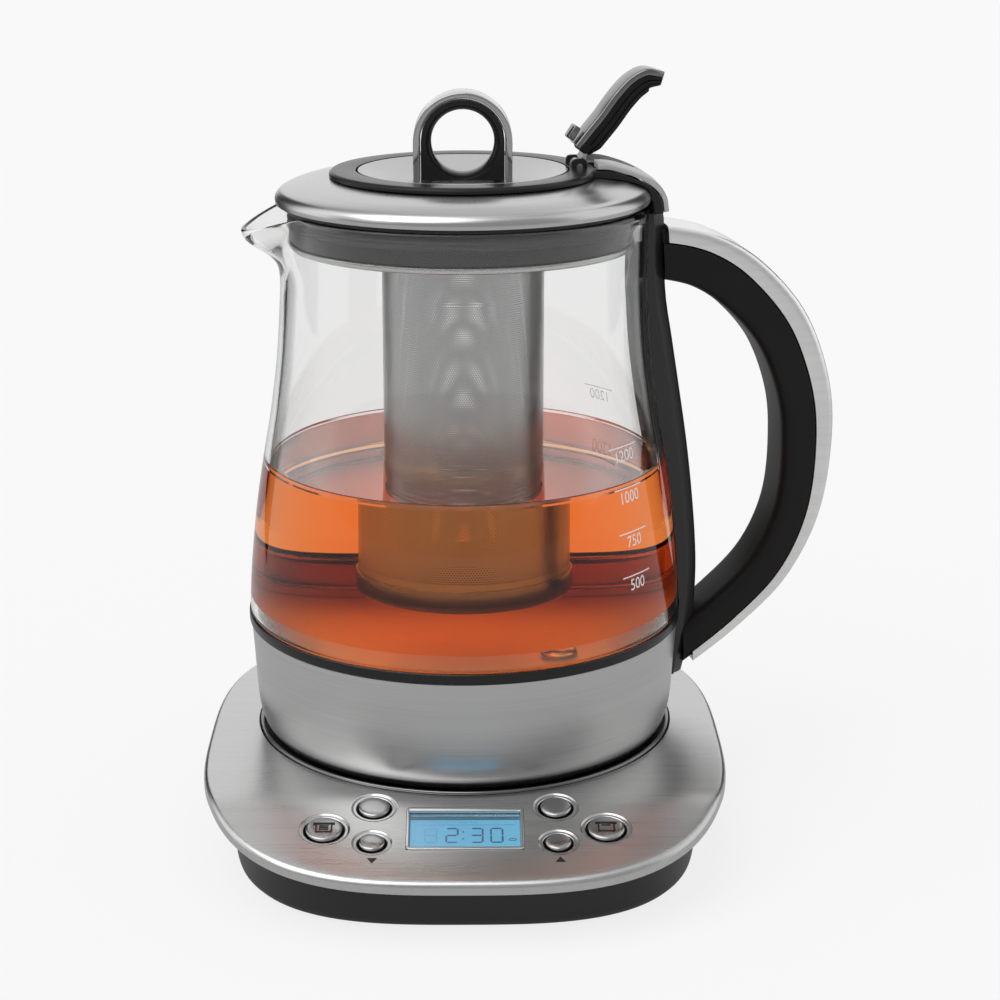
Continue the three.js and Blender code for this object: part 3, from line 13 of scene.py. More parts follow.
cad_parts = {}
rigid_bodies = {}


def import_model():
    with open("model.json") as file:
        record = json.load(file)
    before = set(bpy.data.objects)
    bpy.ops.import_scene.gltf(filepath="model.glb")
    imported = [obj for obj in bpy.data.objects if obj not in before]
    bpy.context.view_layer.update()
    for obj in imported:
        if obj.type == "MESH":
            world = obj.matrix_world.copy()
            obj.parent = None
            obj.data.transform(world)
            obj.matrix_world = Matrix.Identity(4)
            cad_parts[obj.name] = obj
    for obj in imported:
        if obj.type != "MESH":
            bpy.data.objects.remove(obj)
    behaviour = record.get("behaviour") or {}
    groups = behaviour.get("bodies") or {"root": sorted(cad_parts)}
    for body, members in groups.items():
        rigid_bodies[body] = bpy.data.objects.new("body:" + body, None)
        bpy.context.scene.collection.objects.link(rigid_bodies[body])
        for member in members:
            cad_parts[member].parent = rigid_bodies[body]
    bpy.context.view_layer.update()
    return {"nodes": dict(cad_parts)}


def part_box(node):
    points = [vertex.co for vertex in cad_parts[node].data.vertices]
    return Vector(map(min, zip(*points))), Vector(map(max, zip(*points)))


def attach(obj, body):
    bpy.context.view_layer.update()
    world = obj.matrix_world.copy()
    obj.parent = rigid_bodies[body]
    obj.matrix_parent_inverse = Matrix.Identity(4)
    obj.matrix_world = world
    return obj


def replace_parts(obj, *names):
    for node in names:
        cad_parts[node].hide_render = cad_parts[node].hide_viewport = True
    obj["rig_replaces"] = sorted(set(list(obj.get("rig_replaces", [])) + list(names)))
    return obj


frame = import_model()

# %% [markdown]
# ## Shared measures
# Lengths are written in millimetres, as on a drawing, and one factor turns them into Blender's metres.
# The jug is round, so its pieces are drawn round a vertical axis through the origin and moved to the real
# axis at the end. That axis is read from the bright ring in the base, and the jug stands turned by 8 degrees.

# %% Units, the jug's axis and turn
MM = 0.001
ring_low, ring_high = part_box("docking_ring")
axis = (ring_low + ring_high) / 2
jug_turn = math.radians(8)
print("axis in mm", round(axis.x / MM, 3), round(axis.y / MM, 3))

# %% Curves through points
def spline_value(before, start, end, after, t):
    into, out = (end - before) / 2, (after - start) / 2
    cubic = 2 * start - 2 * end + into + out
    square = -3 * start + 3 * end - 2 * into - out
    return ((cubic * t + square) * t + into) * t + start


def smooth_line(points, steps):
    """A smooth line through 2-D points, cut into equal lengths."""
    fine, last = [], len(points) - 1
    for i in range(last):
        near = [points[max(i - 1, 0)], points[i], points[i + 1], points[min(i + 2, last)]]
        for k in range(24):
            fine.append([spline_value(*[p[c] for p in near], k / 24) for c in (0, 1)])
    fine.append(list(points[-1]))
    reach = [0.0]
    for a, b in zip(fine, fine[1:]):
        reach.append(reach[-1] + math.dist(a, b))
    line, k = [], 0
    for i in range(steps + 1):
        goal = reach[-1] * i / steps
        while k < len(reach) - 2 and reach[k + 1] < goal:
            k += 1
        share = (goal - reach[k]) / max(reach[k + 1] - reach[k], 1e-9)
        line.append([a + (b - a) * share for a, b in zip(fine[k], fine[k + 1])])
    return line


def between(low, high, share):
    return low + (high - low) * share


def across_at(line, z):
    """How far out a line of (across, height) lies at a height."""
    for (r0, z0), (r1, z1) in zip(line, line[1:]):
        if min(z0, z1) <= z <= max(z0, z1):
            return between(r0, r1, (z - z0) / ((z1 - z0) or 1))
    return min((line[0], line[-1]), key=lambda end: abs(end[1] - z))[0]


def shares_to_points(shares, low_x, high_x, low_z, high_z):
    return [(between(low_x, high_x, across), between(low_z, high_z, up)) for across, up in shares]


# %% Rounded corners of an outline
def softened(points, radius, closed=True, parts=3):
    """The outline with its corners rounded; a third number on a point is that corner's own radius."""
    result, count = [], len(points)
    for i, corner in enumerate(points):
        here = Vector(corner[:2])
        if not closed and i in (0, count - 1):
            result.append(tuple(here))
            continue
        back = Vector(points[i - 1][:2]) - here
        on = Vector(points[(i + 1) % count][:2]) - here
        own = corner[2] if len(corner) > 2 else radius
        turn = math.pi - back.angle(on)
        if own <= 0 or turn < math.radians(18):
            result.append(tuple(here))
            continue
        reach = min(own * math.tan(turn / 2), back.length * 0.48, on.length * 0.48)
        first, final = here + back.normalized() * reach, here + on.normalized() * reach
        for k in range(parts + 1):
            t = k / parts
            result.append(tuple(first * (1 - t) ** 2 + here * 2 * t * (1 - t) + final * t ** 2))
    return result


# %% [markdown]
# ## Three ways to make a piece
# Most of the kettle is turned work: one vertex is extruded along half a section, and the section is spun
# about the axis. Pieces whose outline changes along the way are lofted: a circle is extruded once per ring,
# and each ring's vertices are then put in their places. Flat pieces are an outline that is filled and
# extruded. Every piece ends with its origin at the world's origin, as the CAD nodes do.

# %% Start and end of edit mode
def begin(add, **settings):
    """Adds a primitive with nothing else selected, and opens it in edit mode."""
    bpy.ops.object.select_all(action="DESELECT")
    add(**settings)
    bpy.ops.object.mode_set(mode="EDIT")
    bpy.ops.mesh.select_all(action="SELECT")
    return bpy.context.object


def close_up(piece, name):
    """Merges doubles, turns the faces outwards and leaves edit mode."""
    bpy.ops.mesh.select_all(action="SELECT")
    bpy.ops.mesh.remove_doubles(threshold=1e-6)
    bpy.ops.mesh.normals_make_consistent(inside=False)
    bpy.ops.object.mode_set(mode="OBJECT")
    piece.name = name
    return piece


def only(piece):
    bpy.ops.object.select_all(action="DESELECT")
    piece.select_set(True)
    bpy.context.view_layer.objects.active = piece


# %% Turned, lofted, flat and swept work
def drawn(points):
    """One vertex, extruded from point to point, in metres."""
    piece = begin(bpy.ops.mesh.primitive_plane_add, size=MM)
    bpy.ops.mesh.merge(type="CENTER")
    bpy.ops.transform.translate(value=points[0])
    for here, there in zip(points, points[1:]):
        step = [b - a for a, b in zip(here, there)]
        bpy.ops.mesh.extrude_region_move(TRANSFORM_OT_translate={"value": step})
    return piece


def turned(name, profile, steps=112):
    """A profile of (radius, height), spun round the vertical axis."""
    points = [(radius * MM, 0, height * MM) for radius, height in profile]
    if profile[0][0] > 0 or profile[-1][0] > 0:
        points.append(points[0])
    piece = drawn(points)
    bpy.ops.mesh.select_all(action="SELECT")
    bpy.ops.mesh.remove_doubles(threshold=1e-7)
    bpy.ops.mesh.spin(steps=steps, angle=math.tau, center=(0, 0, 0), axis=(0, 0, 1))
    return close_up(piece, name)


def lofted(name, rings, capped=True):
    """Rings of equal counts of (x, y, z), joined one after the other."""
    count = len(rings[0])
    fill = "NGON" if capped else "NOTHING"
    piece = begin(bpy.ops.mesh.primitive_circle_add, vertices=count, radius=1, fill_type=fill)
    for _ in rings[1:]:
        bpy.ops.mesh.extrude_region_move(TRANSFORM_OT_translate={"value": (0, 0, 1)})
    bpy.ops.object.mode_set(mode="OBJECT")
    for vertex in piece.data.vertices:
        turn = math.atan2(vertex.co.x, vertex.co.y) / math.tau * count
        vertex.co = Vector(rings[round(vertex.co.z)][round(turn) % count]) * MM
    bpy.ops.object.mode_set(mode="EDIT")
    return close_up(piece, name)


def flat(name, outline, low, high, upright=False):
    """An outline of (x, y) filled and given its height, or of (x, z) given its width along Y."""
    closed = [*outline, outline[0]]
    piece = drawn([(a * MM, low * MM, b * MM) if upright else (a * MM, b * MM, low * MM) for a, b in closed])
    bpy.ops.mesh.select_all(action="SELECT")
    bpy.ops.mesh.remove_doubles(threshold=1e-7)
    bpy.ops.mesh.edge_face_add()
    rise = (high - low) * MM
    step = (0, rise, 0) if upright else (0, 0, rise)
    bpy.ops.mesh.extrude_region_move(TRANSFORM_OT_translate={"value": step})
    return close_up(piece, name)


def direction(line, i):
    a, b = line[max(i - 1, 0)], line[min(i + 1, len(line) - 1)]
    return Vector((b[0] - a[0], b[1] - a[1])).normalized()


def beside(line, i, distance):
    """A point of the handle's plane, so far to the left of the line's direction of travel."""
    on = direction(line, i)
    return line[i][0] - on.y * distance, line[i][1] + on.x * distance


def swept(name, line, section):
    """A section of (across, left of the line), carried along a line in the handle's plane."""
    rings = []
    for i in range(len(line)):
        outline = section(i / (len(line) - 1)) if callable(section) else section
        ring = []
        for across, off in outline:
            x, z = beside(line, i, off)
            ring.append((x, across, z))
        rings.append(ring)
    return lofted(name, rings)


# %% Modifiers, cutting and joining
def applied(piece, kind, **settings):
    only(piece)
    modifier = piece.modifiers.new(kind.title(), kind)
    for name, value in settings.items():
        setattr(modifier, name, value)
    bpy.ops.object.modifier_apply(modifier=modifier.name)
    return piece


def eased(piece, width, segments=2, angle=35):
    """Breaks the sharp edges, as real pieces have them."""
    return applied(piece, "BEVEL", width=width * MM, segments=segments, limit_method="ANGLE",
                   angle_limit=math.radians(angle), use_clamp_overlap=True)


def cut(piece, *tools, operation="DIFFERENCE"):
    for tool in tools:
        applied(piece, "BOOLEAN", object=tool, operation=operation, solver="EXACT")
        bpy.data.objects.remove(tool)
    return piece


def joined(pieces, name):
    only(pieces[0])
    for piece in pieces[1:]:
        piece.select_set(True)
    bpy.ops.object.join()
    pieces[0].name = name
    return pieces[0]


def posed(piece, shift=(0, 0, 0), tilt=0.0, turn=0.0):
    """Tilts, turns and moves a piece, in metres, and makes that its own shape."""
    only(piece)
    piece.rotation_euler = (tilt, 0, turn)
    piece.location = shift
    bpy.ops.object.transform_apply(location=True, rotation=True, scale=True)
    return piece


# %% Places of the jug, the base and the panel
panel_slope = math.radians(13)
panel_start, plate_top = -75, 31.4


def settle(piece, place):
    """Moves a piece from its drawing to its place on the kettle."""
    if place == "panel":
        return posed(piece, (axis.x, axis.y + panel_start * MM, plate_top * MM), tilt=panel_slope)
    return posed(piece, (axis.x, axis.y, 0), turn=jug_turn if place == "jug" else 0)


def finished(piece, place, body, material, nodes=(), angle=32):
    """Places a piece, gives it its finish and ties it to its CAD body."""
    settle(piece, place)
    bpy.ops.object.shade_smooth_by_angle(angle=math.radians(angle))
    piece.data.materials.clear()
    piece.data.materials.append(material)
    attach(piece, body)
    if nodes:
        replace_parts(piece, *nodes)
    print(f"{piece.name}: {len(piece.data.polygons)} faces on {body}")
    return piece


def turned_part(name, body, material, node, profile, ease=0.0, steps=112, closed=True, parts=3):
    """A turned piece in its place, its corners rounded where it is given an ease."""
    points = softened(profile, ease, closed, parts) if ease else profile
    place = "base" if body == "base" else "jug"
    return finished(turned(name, points, steps), place, body, material, [node])


# %% [markdown]
# ## Writing finishes
# A finish is a small sum of noises, masks and colours. One class wraps a node's socket so that such a sum can
# be written with plus, minus and times, and each sign adds the node that does it. Every other node comes
# from the same method, which takes the node's type, its settings and what goes into its sockets.

# %% Sockets that can be added and multiplied
class Wire:
    """A socket of a node tree, for Python's signs."""

    def __init__(self, tree, socket=None):
        self.tree, self.socket = tree, socket

    def node(self, kind, settings=None, sockets=None, out=0):
        made = self.tree.nodes.new(kind)
        for name, value in (settings or {}).items():
            if name == "stops":
                for stop, (position, colour) in zip(made.color_ramp.elements, value):
                    stop.position, stop.color = position, colour
            else:
                setattr(made, name, value)
        for name, value in (sockets or {}).items():
            if isinstance(value, Wire):
                self.tree.links.new(value.socket, made.inputs[name])
            else:
                made.inputs[name].default_value = value
        return Wire(self.tree, made.outputs[out])

    def math(self, operation, *values):
        return self.node("ShaderNodeMath", {"operation": operation}, dict(enumerate(values)))

    def __add__(self, other):
        return self.math("ADD", self, other)

    def __sub__(self, other):
        return self.math("SUBTRACT", self, other)

    def __rsub__(self, other):
        return self.math("SUBTRACT", other, self)

    def __mul__(self, other):
        return self.math("MULTIPLY", self, other)

    def __truediv__(self, other):
        return self.math("DIVIDE", self, other)

    def __lt__(self, other):
        return self.math("LESS_THAN", self, other)

    __radd__ = __add__
    __rmul__ = __mul__

    def mix(self, low, high):
        """Colour low where this is 0, and high where it is 1."""
        return self.node("ShaderNodeMix", {"data_type": "RGBA"}, {0: self, 6: low, 7: high}, out=2)

    def spread(self, low, high, to_low=0.0, to_high=1.0):
        """This value, taken from one range to another and held there."""
        return self.node("ShaderNodeMapRange", {"clamp": True}, {
            "Value": self, "From Min": low, "From Max": high, "To Min": to_low, "To Max": to_high})


# %% Materials, coordinates and noise
def grey(value, tint=(1, 1, 1)):
    return (value * tint[0], value * tint[1], value * tint[2], 1)


def material(name, paint):
    """A material whose tree is filled by a function that returns its shader, or shader and volume."""
    made = bpy.data.materials.new(name)
    made.use_nodes = True
    made.node_tree.nodes.clear()
    ends = paint(Wire(made.node_tree))
    output = made.node_tree.nodes.new("ShaderNodeOutputMaterial")
    for end, socket in zip(ends if isinstance(ends, tuple) else (ends,), ("Surface", "Volume")):
        made.node_tree.links.new(end.socket, output.inputs[socket])
    return made


def place_parts(wire, centre=(0, 0, 0), turn=(0, 0, 0)):
    """The three coordinates in millimetres from a centre, each as a wire."""
    where = seat(wire, centre, (MM, MM, MM), turn)
    parts = wire.node("ShaderNodeSeparateXYZ", {}, {"Vector": where})
    return [Wire(wire.tree, parts.socket.node.outputs[i]) for i in range(3)]


def seat(wire, centre=(0, 0, 0), size=(1, 1, 1), turn=(0, 0, 0)):
    """Object coordinates from a centre, turned, and counted in grains of this size."""
    place = wire.node("ShaderNodeTexCoord", out=3)
    return wire.node("ShaderNodeMapping", {"vector_type": "TEXTURE"}, {
        "Vector": place, "Location": centre, "Rotation": turn, "Scale": size})


def noise(wire, size, centre=(0, 0, 0), detail=3.0, turn=(0, 0, 0)):
    where = seat(wire, centre, size, turn)
    return wire.node("ShaderNodeTexNoise", {}, {"Vector": where, "Scale": 1.0, "Detail": detail, "Roughness": 0.55})


def bumped(wire, height, distance, strength=1.0):
    return wire.node("ShaderNodeBump", {}, {"Height": height, "Distance": distance * MM, "Strength": strength})


def principled(wire, **sockets):
    names = {name.replace("_", " "): value for name, value in sockets.items()}
    return wire.node("ShaderNodeBsdfPrincipled", {}, names)


jug_centre = (axis.x, axis.y, 0)

# %% [markdown]
# ## Steel
# The kettle shows several kinds of steel. The skirt and lid were polished while they turned, so their fine
# lines run round the axis. The base plate was brushed from side to side. Long thin noise gives both: it is
# stretched along the strokes and fine across them, and it moves colour, roughness and a very low bump.

# %% Brushed steel round the axis, and straight
def turned_steel(colour, rough, stroke=0.5, depth=0.0035, sheen=0.35, metal=1.0):
    def paint(wire):
        fine = noise(wire, (0.09, 0.09, stroke * MM), jug_centre, 4.0)
        broad = noise(wire, (0.2, 0.2, stroke * 9 * MM), jug_centre, 2.0)
        cloud = noise(wire, (0.035, 0.035, 0.05), jug_centre, 2.0)
        strokes = (fine * 0.65 + broad * 0.35).spread(0.32, 0.68)
        tone = strokes.mix(grey(colour * 0.93), grey(colour * 1.06, (1, 1, 0.995)))
        roughness = (strokes * 0.09 + cloud * 0.07) + (rough - 0.08)
        return principled(wire, Base_Color=tone, Metallic=metal, Roughness=roughness, Anisotropic=sheen,
                          Normal=bumped(wire, fine, depth))
    return paint


def straight_steel(colour, rough, stroke=0.35, depth=0.004):
    def paint(wire):
        fine = noise(wire, (0.06, stroke * MM, stroke * MM), detail=4.0)
        broad = noise(wire, (0.16, 3.5 * MM, 3.5 * MM), detail=2.0)
        cloud = noise(wire, (0.05, 0.04, 0.05), detail=2.0)
        strokes = (fine * 0.7 + broad * 0.3).spread(0.3, 0.7)
        tone = strokes.mix(grey(colour * 0.92), grey(colour * 1.06, (1, 1, 0.995)))
        roughness = (strokes * 0.1 + cloud * 0.08) + (rough - 0.09)
        return principled(wire, Base_Color=tone, Metallic=1.0, Roughness=roughness,
                          Normal=bumped(wire, fine, depth))
    return paint


skirt_steel = material("skirt_steel", turned_steel(0.58, 0.33))
lid_steel = material("lid_steel", turned_steel(0.58, 0.25, 0.4, 0.003))
cap_steel = material("cap_steel", turned_steel(0.45, 0.22, 0.5, 0.003))
plate_steel = material("plate_steel", straight_steel(0.60, 0.30))
surround_steel = material("surround_steel", turned_steel(0.56, 0.20, 0.5, 0.002, 0.0))
grip_steel = material("grip_steel", turned_steel(0.90, 0.34, 2.0, 0.001, 0.0))
floor_steel = material("floor_steel", turned_steel(0.90, 0.45, 0.8, 0.002, 0.0, 0.35))
plain_steel = material("plain_steel", turned_steel(0.46, 0.24, 1.2, 0.001, 0.0))
# Painted shade: this steel is far darker than real steel, for the dock ring in the jug's shade and for the infuser's
# foot, whose highlights it keeps low.
shaded_steel = material("shaded_steel", turned_steel(0.24, 0.24, 1.2, 0.001, 0.0))

# %% [markdown]
# ## Chrome, satin paint and black plastic
# Plated pieces are mirrors with faint waves from the casting. Moulded plastic has a fine grain that only
# shows where light grazes it, and the gloss ring has almost none. Rubber and silicone are dull and dusty.

# %% Plating, paint, plastic and rubber
def plating(colour, rough):
    def paint(wire):
        wave = noise(wire, (9 * MM,) * 3, detail=1.0)
        smear = noise(wire, (14 * MM, 14 * MM, 30 * MM), detail=3.0)
        tone = smear.mix(grey(colour * 0.95), grey(colour * 1.03))
        roughness = smear.spread(0.3, 0.7, rough * 0.7, rough * 1.3)
        return principled(wire, Base_Color=tone, Metallic=1.0, Roughness=roughness,
                          Normal=bumped(wire, wave, 0.02, 0.5))
    return paint


def moulded(colour, rough, grain=0.35, depth=0.012, coat=0.0, tint=(1, 1, 1.02), shine=0.5):
    def paint(wire):
        leather = noise(wire, (grain * MM,) * 3, detail=2.0)
        cloud = noise(wire, (0.03, 0.03, 0.03), detail=3.0)
        tone = cloud.mix(grey(colour * 0.85, tint), grey(colour * 1.15, tint))
        roughness = (cloud * 0.08 + leather * 0.06) + (rough - 0.07)
        return principled(wire, Base_Color=tone, Roughness=roughness, Coat_Weight=coat, Coat_Roughness=0.06,
                          Specular_IOR_Level=shine, Normal=bumped(wire, leather, depth))
    return paint


chrome = material("chrome", plating(0.66, 0.07))
button_chrome = material("button_chrome", plating(0.42, 0.19))
lever_chrome = material("lever_chrome", plating(0.22, 0.2))
bow_chrome = material("bow_chrome", plating(0.46, 0.07))
hood_paint = material("hood_paint", moulded(0.42, 0.34, 0.2, 0.003, 0.2, (1, 1, 1)))
satin_black = material("satin_black", moulded(0.009, 0.42, shine=0.18))
spine_black = material("spine_black", moulded(0.016, 0.30, shine=0.5))
gloss_black = material("gloss_black", moulded(0.010, 0.26, 0.6, 0.002, shine=0.32))
ring_satin = material("ring_satin", moulded(0.018, 0.26, 0.3, 0.002, shine=0.16))
housing_black = material("housing_black", moulded(0.016, 0.44, shine=0.4))
plug_grey = material("plug_grey", moulded(0.018, 0.34, 0.4, 0.003, shine=0.35))
socket_black = material("socket_black", moulded(0.012, 0.55, shine=0.25))
rubber_black = material("rubber_black", moulded(0.03, 0.78, 0.5, 0.02))
seal_grey = material("seal_grey", moulded(0.06, 0.60, 0.5, 0.01))
silicone = material("silicone", moulded(0.62, 0.55, 0.6, 0.01, 0.0, (1, 1, 0.97)))
ceramic = material("ceramic", moulded(0.70, 0.40, 0.4, 0.01, 0.0, (1, 0.97, 0.88)))
relay_blue = material("relay_blue", moulded(0.30, 0.30, 0.4, 0.006, 0.0, (0.2, 0.5, 1.4)))


# %% Brass, cast element and circuit board
def metal_of(tint, rough):
    def paint(wire):
        stain = noise(wire, (5 * MM,) * 3, detail=5.0)
        tone = stain.mix(tuple(c * 0.82 for c in tint) + (1,), tuple(c * 1.06 for c in tint) + (1,))
        roughness = stain.spread(0.3, 0.7, rough * 0.8, rough * 1.2)
        return principled(wire, Base_Color=tone, Metallic=1.0, Roughness=roughness,
                          Normal=bumped(wire, stain, 0.03))
    return paint


def board(wire):
    mottle = noise(wire, (1.6 * MM, 1.6 * MM, 1.6 * MM), detail=4.0).spread(0.45, 0.55)
    tone = mottle.mix((0.012, 0.09, 0.035, 1), (0.02, 0.16, 0.06, 1))
    return principled(wire, Base_Color=tone, Roughness=mottle.spread(0.0, 1.0, 0.35, 0.5))


contact_brass = material("contact_brass", metal_of((0.78, 0.62, 0.33), 0.24))
element_metal = material("element_metal", metal_of((0.42, 0.40, 0.38), 0.5))
board_green = material("board_green", board)

# %% [markdown]
# ## Glass and tea
# The jug is heat-proof glass, 2.3 mm thick, modelled with both its walls so that it bends light as the real
# one does. Where tea wets the glass, light bends by the ratio of the two, so the inner wall has a second finish
# there. The tea is a body of its own that reaches a quarter of a millimetre into the glass. Only its top bends
# light, its sides let it pass, and its colour comes from the depth of liquid that the light crosses.

# %% Clear glass, wetted glass and tea
glass_index, tea_index = 1.47, 1.333
tea_top = 127.7


def glass_like(index, tint):
    def paint(wire):
        haze = noise(wire, (0.02, 0.02, 0.02), detail=2.0)
        return principled(wire, Base_Color=tint, Roughness=haze.spread(0.5, 0.8, 0.0, 0.015), IOR=index,
                          Transmission_Weight=1.0)
    return paint


def tea_liquid(wire):
    haze = noise(wire, (0.03, 0.03, 0.03), detail=2.0)
    height = place_parts(wire)[2]
    top = principled(wire, Base_Color=(1, 1, 1, 1), Roughness=haze.spread(0.5, 0.8, 0.0, 0.01), IOR=tea_index,
                     Transmission_Weight=1.0)
    side = wire.node("ShaderNodeBsdfTransparent")
    is_top = height.math("GREATER_THAN", height, tea_top - 0.3)
    surface = wire.node("ShaderNodeMixShader", {}, {0: is_top, 1: side, 2: top})
    depth = wire.node("ShaderNodeVolumeAbsorption", {}, {"Color": (0.99, 0.55, 0.01, 1), "Density": 28.0})
    return surface, depth


def printed(colour, alpha):
    def paint(wire):
        fleck = noise(wire, (0.5 * MM,) * 3, detail=3.0)
        return principled(wire, Base_Color=fleck.mix(grey(colour * 0.9), grey(colour * 1.05)), Roughness=0.5,
                          Alpha=fleck.spread(0.2, 0.8, alpha * 0.8, alpha))
    return paint


carafe_glass = material("carafe_glass", glass_like(glass_index, (0.93, 0.935, 0.93, 1)))
wetted_glass = material("wetted_glass", glass_like(glass_index / tea_index, (0.97, 0.97, 0.97, 1)))
tea_amber = material("tea_amber", tea_liquid)
glass_print = material("glass_print", printed(0.85, 0.95))
faint_print = material("faint_print", printed(0.85, 0.32))
panel_print = material("panel_print", printed(0.012, 1.0))

# %% [markdown]
# ## Perforated sheet
# The infuser is thin steel with thousands of round holes in staggered rows. Modelled holes would be far too
# many faces, so the finish makes them: the place on the tube is worked out as a turn and a height, each row
# is shifted by half a hole, and the sheet is clear wherever the nearest hole's centre is close.

# %% Holes in staggered rows
basket_radius = 27.5


def perforated(wire, pitch=0.86, hole=0.27, low=91.0, high=216.0):
    x, y, z = place_parts(wire, jug_centre)
    count = round(math.tau * basket_radius / pitch)
    row = z / (pitch * 0.866)
    shift = row.math("MODULO", row.math("FLOOR", row), 2.0) * 0.5
    turn = x.math("ARCTAN2", y, x) * (count / math.tau) + shift
    across = (turn.math("FRACT", turn) - 0.5) * pitch
    up = (row.math("FRACT", row) - 0.5) * (pitch * 0.866)
    distance = across.math("SQRT", across * across + up * up)
    inside = (distance < hole) * (z.math("GREATER_THAN", z, low)) * (z < high)
    dust = noise(wire, (9 * MM, 9 * MM, 9 * MM), detail=4.0)
    tone = dust.mix(grey(0.46), grey(0.58))
    return principled(wire, Base_Color=tone, Metallic=1.0, Roughness=dust.spread(0.3, 0.7, 0.3, 0.42),
                      Alpha=1 - inside)


mesh_steel = material("mesh_steel", perforated)


# %% The lit screen and its dark figures
def backlight(wire):
    x, y, _ = place_parts(wire, (axis.x, axis.y + panel_start * MM, plate_top * MM), (panel_slope, 0, 0))
    glow = x.spread(-18.0, 18.0, 0.25, 0.85) + y.spread(-27.0, -8.0, 0.15, -0.1)
    colour = glow.mix((0.085, 0.36, 0.60, 1), (0.16, 0.52, 0.78, 1))
    return principled(wire, Base_Color=(0.02, 0.06, 0.09, 1), Roughness=0.4, Emission_Color=colour,
                      Emission_Strength=0.8)


def figure(tone):
    def paint(wire):
        mottle = noise(wire, (0.8 * MM,) * 3, detail=2.0)
        colour = mottle.mix(tone, tuple(c * 1.1 for c in tone[:3]) + (1,))
        return principled(wire, Base_Color=(0.01, 0.02, 0.03, 1), Roughness=0.4, Emission_Color=colour,
                          Emission_Strength=0.8)
    return paint


screen_light = material("screen_light", backlight)
figure_dark = material("figure_dark", figure((0.018, 0.085, 0.14, 1)))
figure_ghost = material("figure_ghost", figure((0.095, 0.37, 0.60, 1)))
screen_glass = material("screen_glass", glass_like(glass_index, (0.97, 0.98, 0.98, 1)))

# %% [markdown]
# ## Base plate
# The base is one pressed steel plate: a flat top behind, and a panel that slopes down in front. Its outline is
# a square that swells like a superellipse. The plate is lofted from the round dock hole outwards in rings,
# rolls over at the rim, and comes back underneath, so that it has its real thickness all over.

# %% Outline and height of the plate
base_half_width, base_half_depth, base_centre_y = 89.0, 101.5, -17.5
outline_power = 3.05
outline_count = 176


def base_point(i, inset):
    angle = i / outline_count * math.tau
    c, s = math.cos(angle), math.sin(angle)
    share = (abs(c) ** outline_power + abs(s) ** outline_power) ** (-1 / outline_power)
    return (base_half_width - inset) * c * share, base_centre_y + (base_half_depth - inset) * s * share


def plate_height(y, crease=5.0):
    """Flat behind and sloping in front, with a soft crease between."""
    past = panel_start - y
    if past < -crease:
        fall = 0.0
    elif past > crease:
        fall = past
    else:
        fall = (past + crease) ** 2 / (4 * crease)
    return plate_top - fall * math.tan(panel_slope)


# %% Rings of the plate
dock_hole = 73.1
plate_wall, rim_height, rim_round = 1.2, 4.0, 1.7


def plate_ring(share, drop, inset=0.0):
    """A ring between the dock hole and the outline, below the top surface by a drop."""
    ring = []
    for i in range(outline_count):
        angle = i / outline_count * math.tau
        outer = base_point(i, inset)
        inner = (dock_hole * math.cos(angle), dock_hole * math.sin(angle))
        x, y = between(inner[0], outer[0], share), between(inner[1], outer[1], share)
        ring.append((x, y, plate_height(y) - drop))
    return ring


plate_rings = [plate_ring(0, plate_wall), plate_ring(0, 0.25), plate_ring(0.012, 0)]
plate_rings += [plate_ring(k / 18, 0, rim_round) for k in range(1, 19)]
for k in range(1, 6):
    bend = math.radians(18 * k)
    plate_rings.append(plate_ring(1, rim_round * (1 - math.cos(bend)), rim_round * (1 - math.sin(bend))))
plate_rings += [plate_ring(1, rim_height - 0.3, 0), plate_ring(1, rim_height, 0.3)]
plate_rings += [plate_ring(1, rim_height, plate_wall), plate_ring(1, plate_wall, plate_wall)]
plate_rings += [plate_ring(k / 6, plate_wall, plate_wall) for k in (5, 4, 3, 2, 1)]
plate_rings.append(plate_rings[0])
plate = lofted("base_plate", plate_rings, capped=False)
print("plate faces", len(plate.data.polygons))

# %% [markdown]
# Six buttons and a screen pass through the panel. Each button sits in a shallow pressed dish, so the plate is
# cut at the dish's edge and the dish is turned as its own ring, flush with the panel. The buttons are plated
# crowns on short stems, each standing in its own dark gap.

# %% Buttons: places on the panel and holes
buttons = [
    ("button_boil", -45.3, -17.0, 6.7), ("button_time", -29.5, -5.6, 5.8), ("button_down", -29.7, -24.0, 4.9),
    ("button_menu", 29.5, -5.6, 5.8), ("button_up", 29.7, -24.0, 4.9), ("button_start", 45.3, -17.0, 6.7),
]
dish_width = 1.9


def drum(radius, low, high, x=0.0, y=0.0):
    """A turned drum that only serves as a cutting tool."""
    tool = turned("tool", [(0, low), (radius, low), (radius, high), (0, high)], 64)
    return shifted(tool, x, y)


def shifted(piece, x, y):
    return posed(piece, (x * MM, y * MM, 0))


lcd_half, lcd_centre_y = (19.0, 11.2), -16.8


def rounded_box(half_x, half_y, centre_y, radius):
    corners = [(half_x, centre_y - half_y), (half_x, centre_y + half_y), (-half_x, centre_y + half_y),
               (-half_x, centre_y - half_y)]
    return softened(corners, radius, parts=4)


holes = [drum(radius + dish_width, -6, 6, x, y) for _, x, y, radius in buttons]
holes.append(flat("tool", rounded_box(*lcd_half, lcd_centre_y, 1.2), -6, 6))
for hole in holes:
    posed(hole, (0, panel_start * MM, plate_top * MM), tilt=panel_slope)
cut(plate, *holes)
finished(plate, "base", "base", plate_steel, ["base_top_plate"], angle=28)

